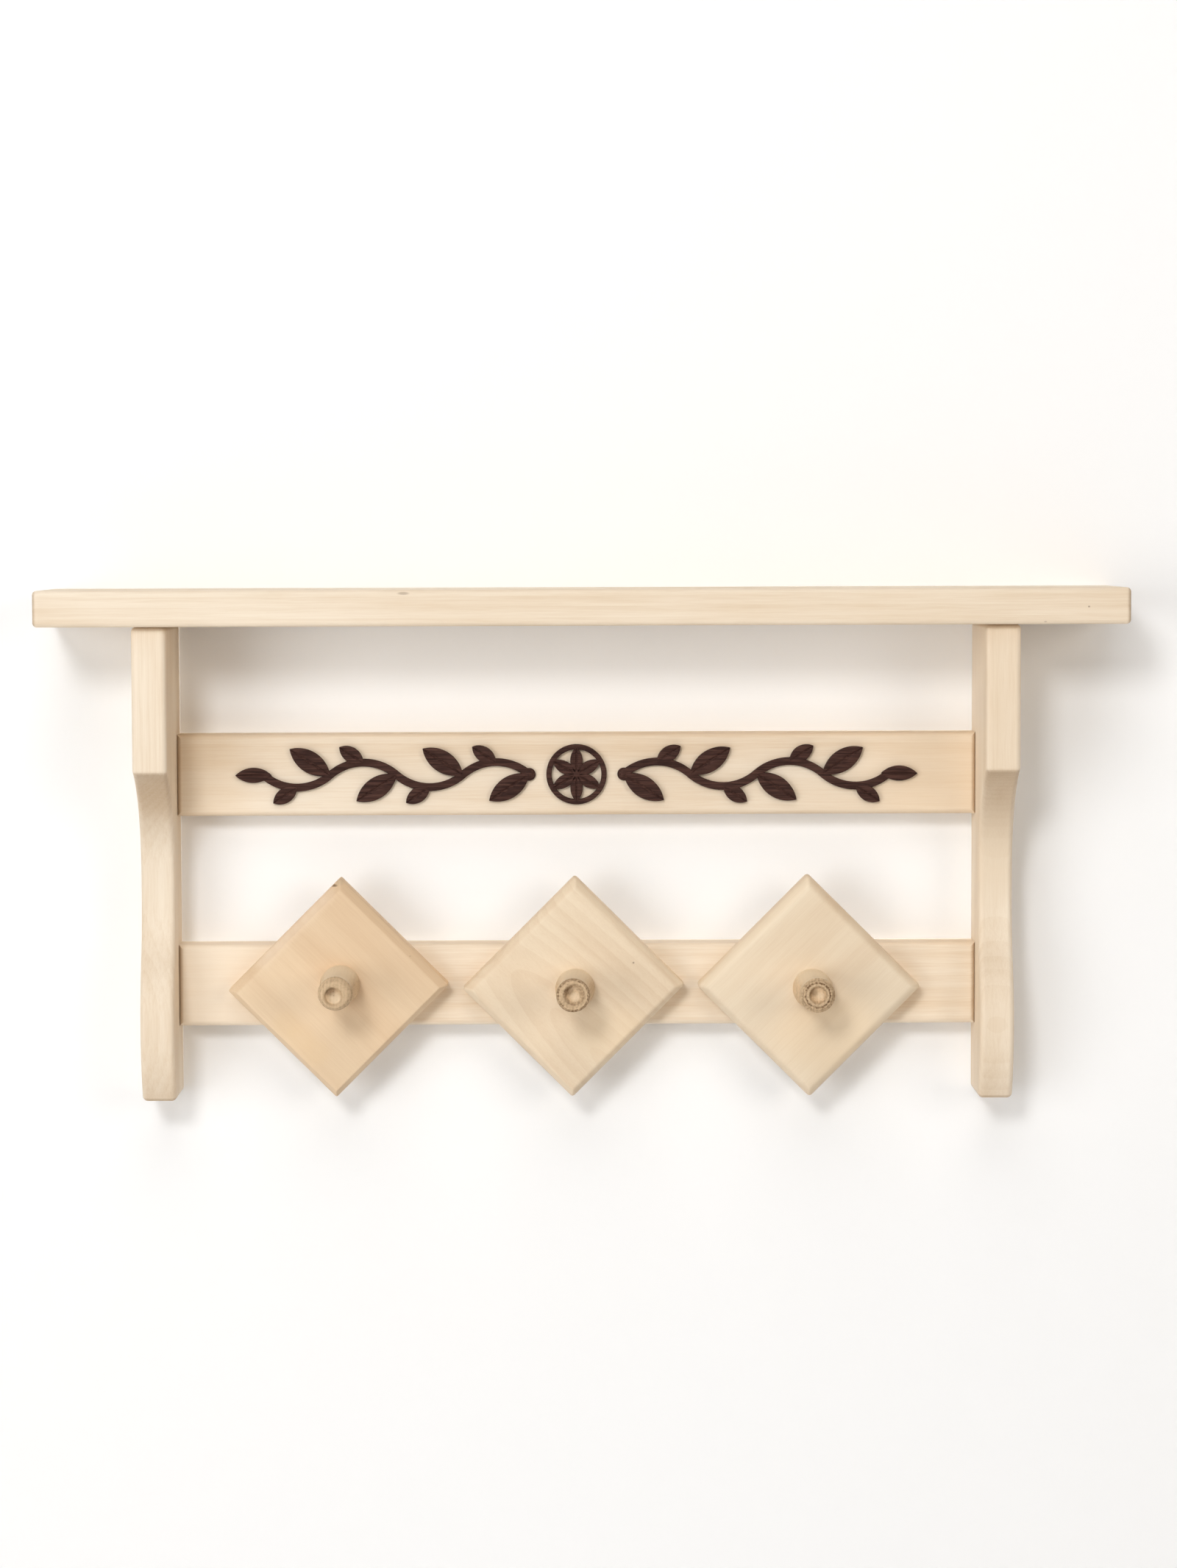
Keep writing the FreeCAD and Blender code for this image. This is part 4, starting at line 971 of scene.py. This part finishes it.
class SHELF_OT_fretwork(bpy.types.Operator):
    """Make the dark rosette and the two leaf vines on the upper rail"""
    bl_idname = "wall_shelf.fretwork"
    bl_label = "Make fretwork"

    def execute(self, context):
        material = dark_wood("fretwork_wood")
        rail = middle("upper_rail")
        centre = np.array([rail.x, rail.z])
        make_piece("ornament_rosette_carved", self.rosette(centre), material, "ornament_rosette")
        for side, sign in zip(SIDES, (-1.0, 1.0)):
            node = f"ornament_vine_{side}"
            make_piece(f"{node}_carved", self.vine(centre, sign), material, node)
        return {"FINISHED"}

    def rosette(self, centre):
        """A ring, pointed petals that meet in the middle, and a round boss."""
        fretwork = settings().fretwork
        radius, width = fretwork.rosette_radius, fretwork.ring_width
        shells = [ring_shell(centre, radius, width, FRETWORK_THICKNESS * STEM_SHARE)]
        for i in range(fretwork.petals):
            turn = math.pi / 2 + FULL_TURN * i / fretwork.petals
            tip = centre + (radius - width / 2) * np.array([math.cos(turn), math.sin(turn)])
            shells.append(leaf_shell(centre, tip, fretwork.petal_width, FRETWORK_THICKNESS * BUD_SHARE))
        shells.append(boss_shell(centre, fretwork.berry_radius, FRETWORK_THICKNESS))
        return shells

    def vine(self, centre, sign):
        """A wavy stem with a leaf in each hollow, a bud on each crown and at its tip, a berry at its root."""
        fretwork = settings().fretwork
        bud_height = FRETWORK_THICKNESS * BUD_SHARE
        low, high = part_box("upper_rail")
        outwards, upwards = np.array([sign, 0.0]), np.array([0.0, 1.0])
        root = fretwork.rosette_radius + fretwork.vine_gap + fretwork.berry_radius
        stem_end = (high.x - low.x) / 2 - fretwork.vine_end_margin - fretwork.bud_length
        wave = (stem_end - root) / fretwork.waves
        along, aside = math.cos(fretwork.leaf_slant), math.sin(fretwork.leaf_slant)
        arches = []
        shells = []
        for i in range(fretwork.waves):
            bulge = upwards * (-1) ** i
            start = centre + outwards * (root + i * wave)
            end = start + outwards * wave
            crown = (start + end) / 2 + bulge * fretwork.wave_rise
            leaf_tip = start + fretwork.leaf_length * (outwards * along - bulge * aside)
            bud_tip = crown + fretwork.bud_length * (outwards * along + bulge * aside)
            arches.append((start, crown, end))
            shells.append(leaf_shell(start, leaf_tip, fretwork.leaf_width, FRETWORK_THICKNESS))
            shells.append(leaf_shell(crown, bud_tip, fretwork.bud_width, bud_height))
        shells.append(stem_shell(arches, fretwork.stem_width, FRETWORK_THICKNESS * STEM_SHARE))
        last = centre + outwards * (stem_end - fretwork.stem_width)
        tip = centre + outwards * (stem_end + fretwork.bud_length)
        shells.append(leaf_shell(last, tip, fretwork.bud_width, bud_height))
        shells.append(boss_shell(centre + outwards * root, fretwork.berry_radius, FRETWORK_THICKNESS))
        return shells


# The arms and the depth of a screw's recess, as shares of its head's radius and height
ARM_LENGTH, ARM_WIDTH, RECESS_DEPTH = 0.62, 0.15, 0.75
# The pitch and the depth of a screw's thread and the length of its point, as shares of its radius
THREAD_PITCH, THREAD_DEPTH, POINT_LENGTH = 0.9, 0.14, 2


def screw_shell(x, z, depth, radius, head_radius, head_height):
    """A countersunk cross-head screw that points forwards from the wall line, head and thread in one shell.

    The radius is a function of the way along the screw and the angle round it. The recess's edge is the
    nearer of an arm's end and an arm's side. The thread is a sine of the way less the angle.
    """
    around = circle(64)
    from_arm = np.abs((around + math.pi / 4) % (math.pi / 2) - math.pi / 4)
    arm_length, arm_width = head_radius * ARM_LENGTH, head_radius * ARM_WIDTH
    recess = np.minimum(arm_length / np.cos(from_arm), arm_width / np.maximum(np.sin(from_arm), 1e-3))
    recess_depth = head_height * RECESS_DEPTH
    pitch = radius * THREAD_PITCH
    way = np.linspace(head_height, depth - radius * POINT_LENGTH, 120)[:, None]
    thread = radius * (1 - THREAD_DEPTH + THREAD_DEPTH * np.sin(FULL_TURN * way / pitch - around))
    # Rows of radius and way: the recess from its floor up, the head, the thread and the point
    rows = [
        (recess * 0.15, recess_depth),
        (recess * 0.75, recess_depth),
        (recess, 0.25 * recess_depth),
        (recess * 1.03, 0),
        (head_radius * 0.96, 0),
        (head_radius, 0.1 * head_height),
        *zip(thread, way),
        (radius * 0.1, depth),
    ]
    ring, y = (np.concatenate([np.broadcast_to(row[i], around.shape) for row in rows]) for i in range(2))
    return turned(x, -y, z, ring, around)


class SHELF_OT_hardware(bpy.types.Operator):
    """Make the screws and give the hanger plates their steel"""
    bl_idname = "wall_shelf.hardware"
    bl_label = "Make hardware"

    def execute(self, context):
        screws = settings().screws
        steel = plated_steel("zinc_steel")
        low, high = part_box("plate_screws")
        half_spacing = screws.plate_screw_spacing / 2
        pitch = (high.x - low.x) / 2 - half_spacing - screws.plate_screw_head
        row = middle("plate_screws")
        in_plates = [(row.x + i * pitch + sign * half_spacing, row.z) for i in (-1, 0, 1) for sign in (-1, 1)]
        low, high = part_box("hanger_screws")
        heights = (low.z + screws.hanger_screw_head, high.z - screws.hanger_screw_head)
        in_hangers = [(middle(f"hanger_plate_{side}").x, z) for side in SIDES for z in heights]
        for kind, places in (("plate", in_plates), ("hanger", in_hangers)):
            node = f"{kind}_screws"
            sizes = [getattr(screws, f"{kind}_screw_{part}") for part in ("radius", "head", "head_height")]
            shells = [screw_shell(x, z, -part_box(node)[0].y, *sizes) for x, z in places]
            make_piece(f"{node}_threaded", shells, steel, node)
        for side in SIDES:
            paint_node(f"hanger_plate_{side}", steel)
        return {"FINISHED"}


# Stage

STAGE_HALF_WIDTH = 3.2
WALL_TOP = 2.2
WALL_GAP = 0.3 * MM
CLEAR_RANGE = 4 * MM
LAMP_TARGET = (0.0, 0.0, -0.08)
SENSOR_WIDTH = 36.0
WHITE = (1.0, 1.0, 1.0)


def one_sided(name, paint, lift=1.0, glow=0.0):
    """A matt stage paint that is clear from behind and to light that starts within a few millimetres of it.

    So the back of the shelf can be seen, and is lit, though it hangs on the wall. To the camera it is lift
    times as bright and a glow brighter, as a wall and a floor in an open room are.
    """
    material = bpy.data.materials.new(name)
    tree = empty_tree(material)
    behind = add_node(tree, "NewGeometry").outputs["Backfacing"]
    path = add_node(tree, "LightPath").outputs
    clear = sums(tree, "MAXIMUM", behind, sums(tree, "LESS_THAN", path["Ray Length"], CLEAR_RANGE))
    seen = step(tree, path["Is Camera Ray"], 0.0, 1.0, 1.0, lift)
    values = {0: paint, "Scale": seen}
    white = add_node(tree, "VectorMath", values, operation="SCALE").outputs[0]
    matt = add_node(tree, "BsdfDiffuse", {"Color": white}).outputs[0]
    glowing = product(tree, path["Is Camera Ray"], glow)
    lit = add_node(tree, "Emission", {"Color": (*paint, 1.0), "Strength": glowing}).outputs[0]
    painted = add_node(tree, "AddShader", {0: matt, 1: lit}).outputs[0]
    glass = add_node(tree, "BsdfTransparent").outputs[0]
    mixed = add_node(tree, "MixShader", {0: clear, 1: painted, 2: glass}).outputs[0]
    add_node(tree, "OutputMaterial", {"Surface": mixed})
    return material


def stage_sheet(name, near, far, material):
    """A sheet across the stage between two level edges, each given by its depth and its height."""
    half = STAGE_HALF_WIDTH
    mesh = bpy.data.meshes.new(name)
    mesh.from_pydata([(-half, *near), (half, *near), (half, *far), (-half, *far)], [], [range(4)])
    mesh.materials.append(material)
    sheet = add_object(name, mesh)


def soft_lamp(name, place, size, watts, tint):
    """A round lamp that faces the shelf."""
    lamp = bpy.data.lights.new(name, "AREA")
    lamp.shape = "DISK"
    lamp.size = size
    lamp.energy = watts
    lamp.color = tint
    holder = add_object(name, lamp)
    holder.location = place
    holder.rotation_euler = (Vector(LAMP_TARGET) - Vector(place)).to_track_quat("-Z", "Y").to_euler()
    holder.visible_camera = False


class SHELF_OT_stage(bpy.types.Operator):
    """Make the wall, the floor, the light and the camera"""
    bl_idname = "wall_shelf.stage"
    bl_label = "Make stage"

    # Each lamp's place, its width and its tint. Its power is a setting.
    lamps = {
        "key": ((-0.85, -3.2, 1.3), 0.8, WHITE),
        "left": ((-2.3, -2.7, -0.1), 2.2, WHITE),
        "right": ((2.2, -2.8, 0.6), 1.6, (1.0, 0.92, 0.83)),
        "top": ((-0.2, -1.8, 2.6), 2.4, WHITE),
        "back": ((1.2, 2.8, 1.2), 2.0, WHITE),
    }

    def execute(self, context):
        stage = settings().stage
        bottom = -stage.floor_drop
        wall = one_sided("wall_paint", stage.wall, stage.wall_lift)
        stage_sheet("wall", (WALL_GAP, bottom), (WALL_GAP, WALL_TOP), wall)
        floor = one_sided("floor_paint", stage.floor, glow=stage.floor_glow)
        stage_sheet("floor", (-2 * STAGE_HALF_WIDTH, bottom), (WALL_GAP, bottom), floor)
        for name, (place, size, tint) in self.lamps.items():
            soft_lamp(f"{name}_light", place, size, getattr(stage, f"{name}_watts"), tint)
        self.light_room(stage)
        self.place_camera(stage)
        context.scene.view_settings.view_transform = "Standard"
        return {"FINISHED"}

    def light_room(self, stage):
        """An even light from all around, which looks nearly white to the camera and in reflections."""
        world = bpy.data.worlds.new("room")
        bpy.context.scene.world = world
        tree = empty_tree(world)
        path = add_node(tree, "LightPath").outputs
        mirrored = sums(tree, "MAXIMUM", path["Is Glossy Ray"], path["Is Transmission Ray"])
        seen = sums(tree, "MAXIMUM", path["Is Camera Ray"], mirrored)
        light = step(tree, seen, 0.0, 1.0, stage.room_light, stage.room_look)
        background = add_node(tree, "Background", {"Color": (*WHITE, 1.0), "Strength": light})
        add_node(tree, "OutputWorld", {"Surface": background.outputs[0]})

    def place_camera(self, stage):
        """A level camera that faces the wall, rolled, tilted down and then turned to the right.

        Its sensor's width is the picture's long side.
        """
        yaw = Matrix.Rotation(-stage.camera_yaw, 4, "Z")
        pitch = Matrix.Rotation(math.pi / 2 - stage.camera_pitch, 4, "X")
        roll = Matrix.Rotation(-stage.camera_roll, 4, "Z")
        camera = bpy.data.cameras.new("camera")
        camera.sensor_fit = "AUTO"
        camera.sensor_width = SENSOR_WIDTH
        camera.lens = stage.focal_pixels / max(PICTURE_SIZE) * SENSOR_WIDTH
        holder = add_object("camera", camera)
        holder.matrix_world = Matrix.Translation(stage.camera_place) @ yaw @ pitch @ roll
        bpy.context.scene.camera = holder


class SHELF_PT_sidebar(bpy.types.Panel):
    """The shelf's settings and the steps that make it"""
    bl_idname = "SHELF_PT_sidebar"
    bl_label = "Wall Shelf"
    bl_space_type = "VIEW_3D"
    bl_region_type = "UI"
    bl_category = "Wall Shelf"

    def draw(self, context):
        for operator in OPERATORS:
            self.layout.operator(operator.bl_idname)
        for part in ShelfSettings.__annotations__:
            group = getattr(settings(), part)
            box = self.layout.box()
            for name in group.__annotations__:
                box.prop(group, name)


OPERATORS = (
    SHELF_OT_boards,
    SHELF_OT_plates,
    SHELF_OT_pegs,
    SHELF_OT_fretwork,
    SHELF_OT_hardware,
    SHELF_OT_stage,
)
CLASSES = (
    ShelfWoodSettings,
    ShelfPlateSettings,
    ShelfPegSettings,
    ShelfFretworkSettings,
    ShelfScrewSettings,
    ShelfStageSettings,
    ShelfSettings,
    *OPERATORS,
    SHELF_PT_sidebar,
)


def register():
    for cls in CLASSES:
        bpy.utils.register_class(cls)
    bpy.types.Scene.wall_shelf = PointerProperty(type=ShelfSettings)


def unregister():
    del bpy.types.Scene.wall_shelf
    for cls in reversed(CLASSES):
        bpy.utils.unregister_class(cls)


def main():
    register()
    bpy.ops.wall_shelf.boards()
    bpy.ops.wall_shelf.plates()
    bpy.ops.wall_shelf.pegs()
    bpy.ops.wall_shelf.fretwork()
    bpy.ops.wall_shelf.hardware()
    bpy.ops.wall_shelf.stage()


if __name__ == "__main__":
    main()
